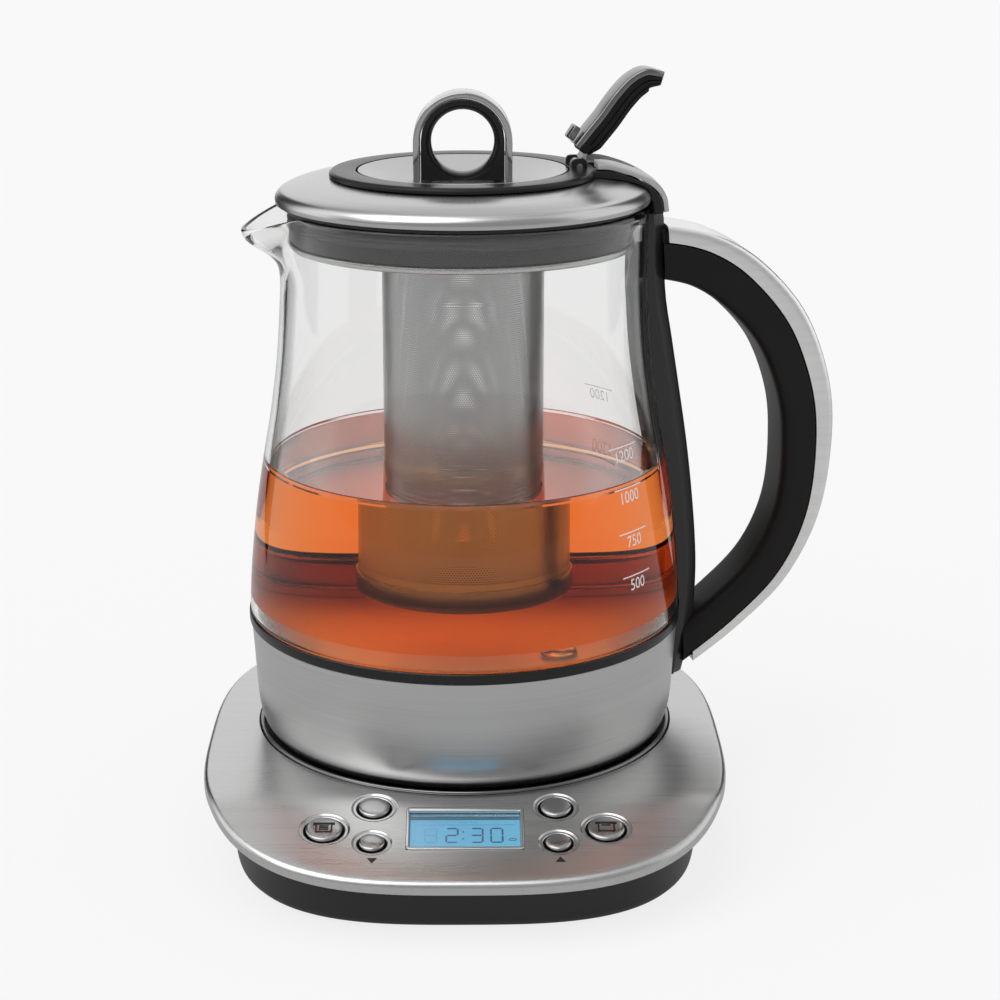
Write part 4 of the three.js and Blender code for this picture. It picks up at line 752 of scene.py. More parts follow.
# %% Button dishes, wells, crowns and stems
well_gap = 0.8
for name, x, y, radius in buttons:
    lip = radius + dish_width - 0.02
    dish = turned(f"{name}_dish", softened([
        (radius - 0.02, -1.2, 0.0), (radius - 0.02, -0.5, 0.15), (radius + 0.25, -0.3, 0.2),
        (radius + dish_width * 0.5, -0.4, 0.8), (radius + dish_width * 0.86, -0.02, 0.35), (lip, 0.0, 0.0),
        (lip, -1.2, 0.0)], 0.2), 64)
    shifted(dish, x, y)
    finished(dish, "panel", "base", surround_steel)
    crown = radius - well_gap
    well = turned(f"{name}_well", softened([
        (crown + 0.2, -2.6), (radius + 1.0, -2.6), (radius + 1.0, -1.35), (radius - 0.1, -1.35),
        (crown + 0.2, -2.2)], 0.1), 48)
    shifted(well, x, y)
    finished(well, "panel", "base", socket_black)
    cap = turned(f"{name}_crown", [
        (0, -6.3), (1.8, -6.3), (1.8, -2.7), (crown, -2.3),
        *[(crown * math.sin(math.radians(a)) ** 0.72, 0.12 + 0.78 * math.cos(math.radians(a)) ** 0.8)
          for a in (90, 80, 69, 57, 45, 33, 21, 9)],
        (0, 0.9)], 64)
    shifted(cap, x, y)
    finished(cap, "panel", f"{name}_body", button_chrome, [name], angle=50)

# %% [markdown]
# ## Screen
# A bright thin frame holds a clear window. Under the window lies the lit blue display, with the dark figures
# of a countdown, faint unlit figures beside them, and a fine ruled line. A figure is made of seven bars; one
# bar is modelled and copied for all the others, as such displays are laid out.

# %% Frame, window and lit face
frame_outer = rounded_box(18.9, 11.1, lcd_centre_y, 1.6)
frame_piece = flat("screen_frame", frame_outer, -3.5, 0.5)
cut(frame_piece, flat("tool", rounded_box(17.8, 9.3, lcd_centre_y - 0.5, 0.5), -9, 6))
eased(frame_piece, 0.3)
finished(frame_piece, "panel", "base", chrome, ["lcd_frame"])
window = eased(flat("screen_window", rounded_box(17.7, 9.2, lcd_centre_y - 0.5, 0.4), -1.8, -0.6), 0.15)
finished(window, "panel", "base", screen_glass, ["lcd_window"], angle=5)
face = eased(flat("screen_face", rounded_box(17.7, 9.2, lcd_centre_y - 0.5, 0.3), -6.6, -2.4), 0.1)
finished(face, "panel", "base", screen_light, ["lcd_module"], angle=5)

# %% One bar of a figure, and its copies
bar_length, bar_width, bar_top = 3.3, 0.62, -2.3


def bar(x, y, length, width, upright=False, name="bar"):
    half, side = length / 2, width / 2
    outline = [(-half, 0), (-half + side, side), (half - side, side), (half, 0), (half - side, -side),
               (-half + side, -side)]
    if upright:
        outline = [(b, a) for a, b in outline]
    return flat(name, [(x + a, y + b) for a, b in outline], bar_top - 0.08, bar_top)


FIGURES = {"2": "abged", "3": "abgcd", "0": "abcdef", "8": "abcdefg"}


def seven_bars(mark, x, y):
    tall, reach = bar_length + 0.3, bar_length / 2 + 0.2
    spots = {"a": (0, tall, False), "g": (0, 0, False), "d": (0, -tall, False),
             "b": (reach, tall / 2, True), "c": (reach, -tall / 2, True),
             "f": (-reach, tall / 2, True), "e": (-reach, -tall / 2, True)}
    return [bar(x + spots[s][0], y + spots[s][1], bar_length, bar_width, spots[s][2]) for s in FIGURES[mark]]


figure_y = -18.1


def oval(x, y, half_x, half_y, low, high):
    turns = [math.tau * i / 24 for i in range(24)]
    return flat("oval", [(x + half_x * math.cos(t), y + half_y * math.sin(t)) for t in turns], low, high)


digits = seven_bars("2", -4.2, figure_y) + seven_bars("3", 3.8, figure_y) + seven_bars("0", 10.2, figure_y)
digits += [bar(-0.6, figure_y + rise, 0.8, 0.7) for rise in (1.8, -1.8)]
digits.append(cut(oval(15.3, figure_y - 2.2, 1.3, 0.75, bar_top - 0.08, bar_top),
                  oval(15.3, figure_y - 2.2, 1.0, 0.48, bar_top - 1, bar_top + 1)))
finished(joined(digits, "screen_figures"), "panel", "base", figure_dark)

ghosts = seven_bars("8", -11.0, figure_y)
ghosts += [bar(0, -12.6, 32.4, 0.25), bar(-16.1, -17.5, 9.6, 0.22, True), bar(16.4, -10.9, 3.2, 0.22, True)]
ghosts += [bar(-1.4 + 1.2 * k, -11.3, 0.8, 0.4) for k in range(5)]
finished(joined(ghosts, "screen_lines"), "panel", "base", figure_ghost)
shade = flat("screen_shade", rounded_box(17.5, 0.8, lcd_centre_y + 7.6, 0.2), -2.38, -2.25)
finished(shade, "panel", "base", figure_dark)

# %% Marks on the panel and on the two larger buttons
marks = [flat("mark", [(x - 1.7, y - s * 1.3), (x + 1.7, y - s * 1.3), (x, y + s * 1.5)], -0.02, 0.03)
         for x, y, s in ((-29.4, -33.1, -1), (30.1, -32.8, 1))]
finished(joined(marks, "panel_marks"), "panel", "base", panel_print)


def line_mark(x, y, length, width, height, upright=False):
    half, side = length / 2, width / 2
    dx, dy = (side, half) if upright else (half, side)
    corners = [(x - dx, y - dy), (x + dx, y - dy), (x + dx, y + dy), (x - dx, y + dy)]
    return flat("mark", corners, height, height + 0.12)


for name, side, waves in (("boil_mark", -1, 3), ("start_mark", 1, 1)):
    x, y = side * 45.3, -17.2
    lines = [line_mark(x, y + 2.1, 7.0, 0.9, 0.88), line_mark(x, y - 2.1, 5.2, 0.6, 0.88)]
    lines += [line_mark(x + s * 2.5, y, 4.4, 0.6, 0.88, True) for s in (-1, 1)]
    lines += [line_mark(x, y + 0.9 - 0.9 * k, 3.0, 0.4, 0.92) for k in range(waves)]
    body = "button_boil_body" if side < 0 else "button_start_body"
    finished(joined(lines, name), "panel", body, panel_print)

# %% [markdown]
# ## Housing and dock
# Under the plate hangs a dark moulded housing that stands in from the rim, so that the plate seems to float.
# The jug stands in a round dish with a bright ring, over a post with two contacts. The housing is lofted like
# the plate, and the dock's pieces are turned.

# %% Housing
def housing_ring(inset, z=None, drop=None):
    ring = []
    for i in range(outline_count):
        x, y = base_point(i, inset)
        ring.append((x, y, z if drop is None else plate_height(y) - drop))
    return ring


housing = lofted("base_shell", [
    housing_ring(26, z=1.5), housing_ring(12.6, z=1.5), housing_ring(11.2, z=1.8), housing_ring(10.3, z=2.8),
    housing_ring(10, z=4.2), housing_ring(10, drop=rim_height + 2.4), housing_ring(9.4, drop=rim_height + 0.9),
    housing_ring(8.2, drop=rim_height), housing_ring(1.5, drop=rim_height), housing_ring(1.5, drop=rim_height - 2),
    housing_ring(12.2, drop=rim_height - 2), housing_ring(12.2, z=5.2), housing_ring(13.2, z=4.5)])
finished(housing, "base", "base", housing_black, ["base_housing"])

# %% Dish, bright ring, post and contacts
turned_part("dock_dish", "base", socket_black, "docking_dish", [
    (14.3, 27.7), (75.0, 27.7), (75.0, 29.9), (70.4, 29.9), (69.0, 29.5), (60.0, 29.5), (59.2, 29.9), (26.0, 29.9),
    (25.2, 29.4), (20.6, 29.4), (19.8, 29.9), (14.3, 29.9)], 0.4)
# The bright ring gets a steel painted dark, as painted shade under the jug.
turned_part("dock_ring", "base", shaded_steel, "docking_ring", [
    (71.2, 30.2), (72.8, 30.2), (72.8, 32.1, 0.5), (71.2, 32.1, 0.6)], 0.1)
turned_part("dock_post", "base", socket_black, "connector_post", [
    (3.2, 24.9), (21.0, 24.9), (21.0, 27.4), (14.0, 27.4), (14.0, 41.9, 1.2), (10.5, 41.9), (10.5, 38.9),
    (8.5, 38.9), (8.5, 41.9), (3.2, 41.9)], 0.35, 72)
turned_part("outer_contact", "base", contact_brass, "contact_ring", [
    (8.8, 39.2), (10.2, 39.2), (10.2, 42.7), (8.8, 42.7)], 0.4, 64)
turned_part("middle_contact", "base", contact_brass, "contact_pin", [
    (0, 24.9), (2.9, 24.9), (2.9, 27.4), (2.0, 27.4), (2.0, 42.8), (1.7, 43.6), (1.0, 44.0), (0, 44.1)], steps=40)
turned_part("turning_collar", "collar", socket_black, "connector_collar", [
    (14.5, 30.2), (17.5, 30.2), (17.5, 41.9), (14.5, 41.9)], 0.6, 72)

# %% [markdown]
# ## Steel skirt and trim ring
# The jug's foot is a steel skirt that draws in towards its base, where it drops into the dock. A black ring
# covers the joint between steel and glass. Both are turned from half sections with rounded edges.

# %% Skirt, cover and trim ring
skirt_foot, skirt_waist, skirt_top = (67.4, 31.1), (73.2, 50.65), (74.8, 70.2)
skirt_shares = [(0, 0), (0.32, 0.05), (0.62, 0.17), (0.86, 0.39), (1, 0.72)]
skirt_line = shares_to_points(skirt_shares, skirt_foot[0], skirt_waist[0], skirt_foot[1], skirt_waist[1])
skirt_line = smooth_line([*skirt_line, (74.1, 60.0), skirt_top], 22)
skirt_wall = 1.1
inside = [(radius - skirt_wall, height) for radius, height in reversed(skirt_line)]
skirt = turned("jug_skirt", [*skirt_line, (skirt_top[0] - 0.35, skirt_top[1] + 0.15), *inside], 144)
finished(skirt, "jug", "jug", skirt_steel, ["steel_skirt"])
turned_part("jug_trim", "jug", gloss_black, "trim_ring", [
    (73.6, 70.5), (75.5, 70.5, 0.5), (75.5, 74.1, 0.9), (73.6, 74.1)], 0.2, 144)
turned_part("jug_underside", "jug", socket_black, "jug_bottom_cover", [
    (18.0, 30.3), (26.0, 30.3), (26.6, 30.9), (58.0, 30.9), (58.6, 30.3), (65.6, 30.3), (66.0, 30.9), (66.0, 32.3),
    (18.0, 32.3)], 0.25)

# %% [markdown]
# ## Glass carafe
# The glass swells at the foot, narrows to the neck, and its rim is drawn out to a pouring lip on the side away
# from the handle. Turned work can't make the lip, so the carafe is lofted in rings, with the vertices crowded
# towards the lip and pushed outwards there.

# %% Profile of the glass
glass_wall, rim_z, neck_z, neck_radius, belly_radius, belly_z = 2.3, 214.2, 186.0, 62.0, 75.0, 77.5
shoulder_shares = [(0, 0), (0.05, 0.1), (0.22, 0.29), (0.44, 0.46), (0.68, 0.62), (0.88, 0.8), (1, 1)]
shoulder = shares_to_points(shoulder_shares, belly_radius, neck_radius, belly_z, neck_z)
shoulder = smooth_line([(75.0, 76.9), *shoulder[1:-1], (62.0, 186.0), (62.0, 192.0)], 44)
belly = smooth_line([(72.2, 73.0), (73.9, 73.3), (74.8, 74.0), (75.0, 75.2), (75.0, 76.9)], 9)
glass_line = [(72.2, 63.0), *belly, *shoulder, (neck_radius, rim_z + 5)]


def glass_radius(z):
    return across_at(glass_line, z)


# %% Rings of the glass, with the pouring lip
glass_count = 152
spout_start, spout_spread, spout_reach, spout_drop = 190.0, math.radians(25), 12.6, 6.5


def glass_ring(radius, z):
    ring = []
    for i in range(glass_count):
        even = i / glass_count * math.tau - math.pi
        angle = even - 0.5 * math.sin(even)
        near = max(0.0, 1 - (angle / spout_spread) ** 2)
        up = min(1.0, max(0.0, (z - spout_start) / (rim_z - spout_start)))
        pull = near ** 2 * (up * up * (3 - 2 * up)) ** 1.5
        reach = radius + spout_reach * pull
        ring.append((-reach * math.cos(angle), reach * math.sin(angle), z - spout_drop * pull))
    return ring


outer = [(72.2, 63.2), (72.2, 68.0), *belly[:-1], *shoulder]
outer += [(neck_radius, between(193.0, rim_z - 0.4, k / 11)) for k in range(12)]
lip = [(neck_radius - glass_wall / 2 + 1.15 * math.cos(a), rim_z - 0.4 + 0.9 * math.sin(a))
       for a in (math.radians(d) for d in (30, 60, 90, 120, 150))]
inner = [(radius - glass_wall, z) for radius, z in reversed(outer)]
foot_round = [(69.9, 63.2), (70.5, 63.0), (71.6, 63.0)]
glass_rings = [glass_ring(radius, z) for radius, z in [*outer, *lip, *inner, *foot_round[1:], outer[0]]]
carafe = lofted("carafe", glass_rings, capped=False)
finished(carafe, "jug", "jug", carafe_glass, ["glass_carafe"], angle=60)
carafe.data.materials.append(wetted_glass)
for face in carafe.data.polygons:
    outwards = Vector((face.center.x - axis.x, face.center.y - axis.y))
    is_inner = outwards.dot(face.normal.xy) < 0 or face.center.z < 64 * MM
    face.material_index = int(is_inner and outwards.length < 72.6 * MM and face.center.z < tea_top * MM)
print("wetted faces", sum(face.material_index for face in carafe.data.polygons))

# %% Tea
tea_lap = 0.25
tea_wall = [(glass_radius(z) - glass_wall + tea_lap, z) for z in [k * 2.5 + 76.0 for k in range(21)]]
tea_edge = glass_radius(tea_top) - glass_wall + tea_lap
tea = turned("tea", [
    (0, 59.4), (69.1, 59.4), (69.1, 63.3), (70.15, 63.6), (70.15, 73.2), (71.6, 73.5), (72.6, 74.1), *tea_wall,
    (tea_edge, tea_top + 1.1), (tea_edge - 0.7, tea_top + 0.55), (tea_edge - 1.6, tea_top + 0.2),
    (tea_edge - 3.2, tea_top), (0, tea_top)], 144)
finished(tea, "jug", "jug", tea_amber, angle=60)

# %% Volume marks on the glass
def wrapped(name, pieces, turn, height):
    """Flat print, bent round the glass at a turn from the viewer's side and a height."""
    print_piece = joined(pieces, name)
    only(print_piece)
    bpy.ops.object.mode_set(mode="EDIT")
    bpy.ops.mesh.select_all(action="SELECT")
    bpy.ops.mesh.subdivide(number_cuts=2)
    bpy.ops.object.mode_set(mode="OBJECT")
    for vertex in print_piece.data.vertices:
        across, up = vertex.co.x / MM, vertex.co.y / MM
        radius = glass_radius(height + up)
        angle = math.radians(turn - 90) - jug_turn + across / radius
        skin = radius + 0.06 + 0.05 * (vertex.co.z > 0)
        vertex.co = Vector((skin * math.cos(angle), skin * math.sin(angle), height + up)) * MM
    return print_piece


def number(text, size):
    bpy.ops.object.select_all(action="DESELECT")
    bpy.ops.object.text_add()
    writing = bpy.context.object
    writing.data.body, writing.data.size = text, size * MM
    writing.data.align_x, writing.data.extrude = "CENTER", 0.02 * MM
    bpy.ops.object.convert(target="MESH")
    return bpy.context.object


near_turn, far_turn, rule_rise = 51.3, 130.6, 4.6
rule_half, rule_top = 7.5, rule_rise + 0.4
rule_outline = [(-rule_half, rule_rise), (rule_half, rule_rise), (rule_half, rule_top), (-rule_half, rule_top)]
mark_rows = [("500", 98.3), ("750", 112.8), ("1000", 127.4), ("1200", 140.9)]
for text, level in mark_rows:
    for side, turn, ink in (("near", near_turn, glass_print), ("far", far_turn, faint_print)):
        rule = flat("rule", rule_outline, -0.02, 0.02)
        mark = wrapped(f"volume_{text}_{side}", [number(text, 5.4), rule], turn, level - rule_rise)
        finished(mark, "jug", "jug", ink)

# %% Vessel floor and sensor
turned_part("vessel_floor", "jug", floor_steel, "heater_plate", [
    (0, 58.6, 0), (71.9, 58.6), (71.9, 60.1), (66.0, 60.1, 1.5), (64.5, 59.75, 1.5),
    (0, 59.75, 0)], 0.3, closed=False)
sensor = turned("sensor_dome", [
    (0, 50.6), (3.0, 50.6), (3.0, 60.4), (6.4, 60.4), (6.5, 60.9), (6.2, 61.8), (5.4, 62.6), (4.0, 63.2), (2.0, 63.5),
    (0, 63.6)], 48)
shifted(sensor, 30, -22)
finished(sensor, "jug", "jug", plain_steel, ["temperature_sensor"])

# %% [markdown]
# ## Handle
# A black spine runs down the glass and carries the grip, a C-shaped hoop of soft black plastic. The hoop's back
# is covered by a satin steel channel. Grip and channel share one middle line and are swept along it with their
# own sections, so that a fine dark joint runs between them all the way.

# %% Spine along the glass
jug_line = [*skirt_line, (74.9, 70.0), (75.5, 70.4), (75.5, 74.2), *[p for p in glass_line if p[1] > 75.0]]
spine_half = 12.0
spine_line = smooth_line([(67.3, 209.6), (68.3, 185), (71.0, 168), (74.0, 150), (76.9, 132), (79.2, 114), (80.9, 96),
                          (81.4, 82), (80.4, 64), (76.8, 46)], 60)
spine_line[0] = (67.3, 213.0)  # the line ends above the topmost ring


def spine_ring(z, shrink=0.0):
    rest, back = across_at(jug_line, z) + 0.35 + shrink, across_at(spine_line, z) - shrink
    half = spine_half - shrink
    ring = []
    for k in range(13):
        y = -half + 2 * half * k / 12
        ring.append((math.sqrt(rest ** 2 - y * y), y, z))
    corners = [(half, rest), (half, back - 4.2, 0.5), (half - 3.2, back, 2.2), (3.2 - half, back, 2.2),
               (-half, back - 4.2, 0.5), (-half, rest)]
    for y, x in softened(corners, 1.6, closed=False, parts=4)[1:-1]:
        ring.append((max(x, rest - 1.5), y, z))
    return ring


spine_heights = [46.0, 46.3, 47.0, 49, 52, 55, 58, 61, 64, 67, 69.9, 70.1, 72.5, 75.1, 75.3, 77.5]
spine_heights += [80 + 4.6 * k for k in range(28)] + [206.5, 209.0, 211.3, 211.6]
shrinks = {46.0: 0.9, 46.3: 0.3, 211.3: 0.3, 211.6: 0.9}
spine = lofted("handle_spine_cover", [spine_ring(z, shrinks.get(z, 0.0)) for z in spine_heights])
finished(spine, "jug", "jug", spine_black, ["handle_spine"], angle=40)

# %% Grip and steel channel
grip_shares = [(0, 1), (0.287, 0.977), (0.543, 0.917), (0.802, 0.803), (0.96, 0.655), (1, 0.507), (0.945, 0.345),
               (0.744, 0.204), (0.389, 0.09), (0, 0)]
grip_points = [(between(between(76.8, 66.0, up), 119.9, out), between(55.0, 197.0, up)) for out, up in grip_shares]
grip_line = smooth_line([(60.0, 197.0), *grip_points, (67.8, 49.0)], 104)
grip_half = 12.4
grip_inner = [(8.2, 0.0), (8.6, 0.06), (9.8, 0.17), (9.6, 0.36), (9.3, 0.5), (8.6, 0.64), (8.0, 0.8), (8.0, 1.0)]
grip_joint = [(4.4, 0.0), (4.2, 0.07), (3.0, 0.2), (2.1, 0.35), (1.9, 0.6), (1.9, 1.0)]
grip_outer = [(10.2, 0.0), (10.3, 0.27), (9.3, 0.42), (8.0, 0.55), (6.4, 0.7), (5.7, 0.85), (5.5, 1.0)]


def grip_section(share):
    inner, joint, outer = (across_at(line, share) for line in (grip_inner, grip_joint, grip_outer))
    return softened([
        (-grip_half, joint, 0.25), (-grip_half, -inner, 4.6), (grip_half, -inner, 4.6), (grip_half, joint, 0.25),
        (10.5, joint, 0.2), (10.5, outer - 1.6, 2.4), (-10.5, outer - 1.6, 2.4), (-10.5, joint, 0.2)], 1.0, parts=5)


def cover_section(share):
    joint, outer = across_at(grip_joint, share) + 0.4, across_at(grip_outer, share)
    return softened([
        (-grip_half, joint, 0.3), (-grip_half, outer, 3.8), (grip_half, outer, 3.8), (grip_half, joint, 0.3),
        (10.9, joint, 0.3), (10.9, outer - 1.3, 2.4), (-10.9, outer - 1.3, 2.4), (-10.9, joint, 0.3)], 1.0, parts=5)


def trimmed(piece, top_x, foot_x):
    """Cuts off what lies on the jug's side of a plane through (top_x, 200) and (foot_x, 50)."""
    only(piece)
    bpy.ops.object.mode_set(mode="EDIT")
    bpy.ops.mesh.select_all(action="SELECT")
    normal = Vector((150.0, 0, foot_x - top_x)).normalized()
    bpy.ops.mesh.bisect(plane_co=(top_x * MM, 0, 200 * MM), plane_no=normal, use_fill=True, clear_inner=True)
    bpy.ops.object.mode_set(mode="OBJECT")
    return piece


grip = trimmed(swept("handle_hoop", grip_line, grip_section), 66.6, 77.2)
finished(grip, "jug", "jug", satin_black, ["handle_grip"], angle=40)
channel = trimmed(swept("handle_channel", grip_line, cover_section), 68.6, 80.5)
finished(channel, "jug", "jug", grip_steel, ["handle_cover"], angle=40)

# %% [markdown]
# ## Lid
# The lid is a low steel dome with a black ring in its middle. A stepped plug under it fits the glass neck, with
# a soft seal and a bright ring below. From the black ring a tail runs over the dome to the handle, covered by a
# satin silver hood that has a channel for the folded lever.

# %% Dome, plug, seal and clamp ring
dome_shares = [(1, 0.02), (1.005, 0.2), (0.97, 0.38), (0.86, 0.58), (0.62, 0.79), (0.3, 0.93), (0, 1)]
dome_line = smooth_line(shares_to_points(dome_shares, 44.05, 62.9, 216.0, 224.2), 20)
under = [(radius - 1.0 * min(1.0, (radius - 44) / 16 + 0.1), z - 1.0) for radius, z in reversed(dome_line[6:])]
turned_part("lid_shell", "lid", lid_steel, "lid_dome", [
    (60.8, 216.0), (62.0, 215.85), *dome_line, (40.0, 224.2), (40.0, 223.2), *under, (60.7, 217.0)], steps=144)
turned_part("lid_stopper", "lid", plug_grey, "lid_plug", [
    (29.2, 203.6), (57.2, 203.6, 0.5), (57.2, 208.6), (57.4, 208.6), (57.4, 213.0), (58.8, 213.0), (58.8, 215.0),
    (61.3, 215.0), (61.3, 215.7), (54.8, 215.7), (54.8, 205.6), (30.8, 205.6), (30.8, 216.7),
    (29.2, 216.7)], 0.25)
turned_part("lid_gasket", "lid", seal_grey, "lid_seal", [
    (57.7, 208.7), (58.6, 208.7), (59.2, 209.4), (58.5, 210.1), (58.5, 210.6), (59.2, 211.3), (58.5, 212.0),
    (57.7, 212.7)], 0.2)
turned_part("lid_clamp", "lid", plain_steel, "lid_clamp_ring", [
    (48.8, 201.3), (57.8, 201.3, 0.8), (57.8, 203.3, 0.6), (48.8, 203.3)], 0.3, 112)

# %% Room for the folded lever
pivot = (38.6, 226.8)
lever_line = smooth_line([
    (37.2, 234.2), (41.0, 239.0), (45.4, 244.3), (50.3, 250.9), (55.6, 256.3), (61.4, 258.9), (67.6, 257.6)], 32)
fold, room_half = math.radians(50), 6.5
low_side = []
for i in range(len(lever_line)):
    x, z = beside(lever_line, i, -8.0)
    dx, dz = x - pivot[0], z - pivot[1]
    low_side.append((pivot[0] + dx * math.cos(fold) + dz * math.sin(fold),
                     pivot[1] - dx * math.sin(fold) + dz * math.cos(fold) - 0.5))
lever_room = [(pivot[0], 260.0), (pivot[0], pivot[1] - 0.5), *low_side, (140.0, low_side[-1][1]), (140.0, 260.0)]
print("lever room", [tuple(round(c, 1) for c in p) for p in low_side[::7]])

# %% Ring, tail and hood
collar_ring = turned("lid_collar", softened([
    (30.0, 217.0), (39.7, 217.0), (39.7, 224.5), (44.8, 224.5, 0.2), (44.8, 225.5, 0.5), (43.7, 226.4, 0.5),
    (35.8, 226.4, 0.4), (35.8, 220.2), (30.0, 220.2)], 0.2), 144)
ear_outline = softened([(36.0, 224.8), (41.2, 224.8), (41.2, 229.4, 1.6), (36.0, 229.4, 1.6)], 0.3)
ears = [flat("ear", ear_outline, low, low + 2.0, upright=True) for low in (-6.1, 4.1)]
for ear in ears:
    eased(ear, 0.3)
tail_shares = [(0.02, 0.985), (0.3, 1), (0.52, 0.9), (0.72, 0.745), (0.88, 0.54), (0.97, 0.3), (1, 0)]
tail_line = smooth_line(shares_to_points(tail_shares, 37.0, 68.8, 212.4, 229.4), 40)
tail = swept("tail", tail_line, softened([(-15, -3.1), (-15, -6.4), (15, -6.4), (15, -3.1)], 0.5))
over_dome = [(radius + 0.25, z + 0.3) for radius, z in dome_line]
dome_room = turned("tool", [(0, 215.6), (64.1, 215.6), *over_dome, (0, 224.5)], 96)
cut(tail, dome_room, drum(40.5, 190, 260), flat("tool", lever_room, -room_half, room_half, upright=True))
finished(joined([collar_ring, *ears, tail], "lid_collar"), "jug", "lid", ring_satin, ["lid_ring"])


hood_half = 13.8
hood_right = [(1, -1.25), (0.9, -0.75), (0.6, -0.28), (0.25, -0.05)]
hood_section = [(-hood_half, -2.55), (hood_half, -2.55), *[(hood_half * a, z) for a, z in hood_right],
                *[(-hood_half * a, z) for a, z in reversed(hood_right)]]
hood = swept("lid_hood", tail_line, hood_section)
hood_room = flat("tool", [(20, 190), (43.4, 190), (43.4, 260), (20, 260)], -30, 30, upright=True)
cut(hood, drum(45.1, 190, 227), hood_room, flat("tool", lever_room, -room_half, room_half, upright=True))
eased(hood, 0.35)
finished(hood, "jug", "lid", hood_paint, ["hood_cover"])

# %% [markdown]
# ## Lever
# The lever that opens the lid's catch is a plated arm over a ribbed black pad. It stands on a thin steel tongue
# that turns on a pin between two ears. Arm and pad are swept along one line with their own sections.

# %% Arm and pad
lever_half = 6.0


def tip_half(share, full):
    """Half of the width, rounded off at both ends as seen from above."""
    near_end = max(0.0, (share - 0.86) / 0.14)
    return full * math.sqrt(1 - 0.55 * near_end ** 2)


def arm_section(share):
    half = tip_half(share, lever_half)
    low = -2.3 + 4 * max(0.0, share - 0.92)
    return softened([(-half, low, 0.5), (half, low, 0.5), (half, -0.1, 1.1), (-half, -0.1, 1.1)], 0.8, parts=4)


arm = swept("lever_top", lever_line, arm_section)
lug_outline = softened([(34.9, 236.2), (36.9, 234.9), (39.6, 239.2), (37.6, 240.4)], 0.7)
lug = eased(flat("lug", lug_outline, -3.4, 3.4, upright=True), 0.4)
lever_top = joined([arm, lug], "lever_top")
finished(lever_top, "jug", "lever", lever_chrome, ["lever_arm"], angle=45)


def pad_section(share):
    half = tip_half(share, lever_half - 0.15)
    end = max(0.0, (share - 0.7) / 0.3)
    low = -7.8 + 3.0 * end ** 2 if share > 0.1 else -6.0 - 18 * share
    ribs = [between(-2.35 + 4 * max(0.0, share - 0.92), low, k / 7) for k in (0, 2.2, 2.6, 3.0, 4.6, 5.0, 5.4)]
    side = [half, half, half - 0.4, half, half, half - 0.4, half]
    return [*[(-a, z) for a, z in zip(side, ribs)][::-1], *zip(side, ribs), (half - 0.6, low), (0.6 - half, low)]


pad = swept("lever_grip", lever_line, pad_section)
pin_profile = softened([(0, -6.3, 0), (1.7, -6.3, 0.4), (1.7, 6.3, 0.4), (0, 6.3, 0)], 0.3, closed=False)
cross_pin = turned("cross_pin", pin_profile, 32)
posed(cross_pin, (40.6 * MM, 0, 232.8 * MM), tilt=math.radians(90))
lever_grip = joined([pad, cross_pin], "lever_grip")
finished(lever_grip, "jug", "lever", satin_black, ["lever_pad"], angle=25)

# %% [markdown]
# ## Infuser and cap
# The infuser hangs in the lid: a perforated tube with a plain pressed foot, under a rim that rests on a ledge.
# Its cap is a dished steel disc with a loop to lift it by: a plated bow round a black core with a round hole,
# whose face is flared towards the hole.

# %% Infuser
turned_part("infuser_tube", "infuser", mesh_steel, "basket_tube", [
    (27.5, 81.9), (27.5, 220.2), (26.8, 220.2), (26.8, 81.9)], steps=120)
# The foot's steel is painted darker than it is, as painted shade that keeps its highlights low.
turned_part("infuser_foot", "infuser", shaded_steel, "basket_foot", [
    (0, 80.8, 0), (28.1, 80.8, 2.4), (28.1, 88.8, 0.3), (27.6, 88.8), (27.6, 82.4, 1.2),
    (0, 81.6, 0)], 0.3, 96, closed=False)
turned_part("infuser_rim", "infuser", plain_steel, "basket_rim", [
    (25.9, 214.5), (26.5, 214.5), (26.5, 220.5), (34.6, 220.5), (34.6, 221.9), (25.9, 221.9)], 0.3, 96)

# %% Cap disc
turned_part("cap_plate", "cap", cap_steel, "cap_disc", [
    (0, 221.5, 0), (20.0, 221.5, 3), (34.6, 224.9), (35.3, 225.6, 0.5), (35.2, 226.3, 0.5), (33.9, 226.3, 0.6),
    (20.0, 222.9, 4), (0, 222.9, 0)], 0.4, 144, closed=False, parts=5)

# %% Loop: bow and core
def arch(half, top, foot, steps=36):
    centre = top - half
    turns = [math.pi * k / steps for k in range(steps + 1)]
    bend = [(-half * math.cos(t), centre + half * math.sin(t)) for t in turns]
    return [(-half, foot), *bend, (half, foot)]


loop_foot, bow_wide, bow_thick = 223.2, 7.0, 1.15
bow_line = arch(16.5 - bow_thick, 252.2 - bow_thick, loop_foot)
bow_line.reverse()
bow_section = softened([
    (-bow_wide, -bow_thick, 0.5), (bow_wide, -bow_thick, 0.5), (bow_wide, bow_thick, 1.0),
    (-bow_wide, bow_thick, 1.0)], 0.8, parts=4)
bow = swept("loop_band", bow_line, bow_section)
finished(bow, "base", "cap", bow_chrome, ["loop_bow"], angle=40)

core = flat("loop_heart", arch(13.9, 249.6, loop_foot), -5.6, 5.6, upright=True)
flare = [(10.5, 1.2), (10.7, 3.2), (11.4, 4.6), (12.3, 5.62), (12.4, 7), (0, 7)]
hole_tool = turned("tool", [*[(radius, -off) for radius, off in reversed(flare)], *flare], 72)
posed(hole_tool, (0, 0, 235.7 * MM), tilt=math.radians(90))
cut(core, hole_tool)
finished(core, "base", "cap", gloss_black, ["loop_core"], angle=40)

# %% [markdown]
# ## Finishes of the pieces that stay
# Some CAD pieces are already right: feet, boards, contacts and screws inside. They keep their meshes and get
# real finishes in their slots.

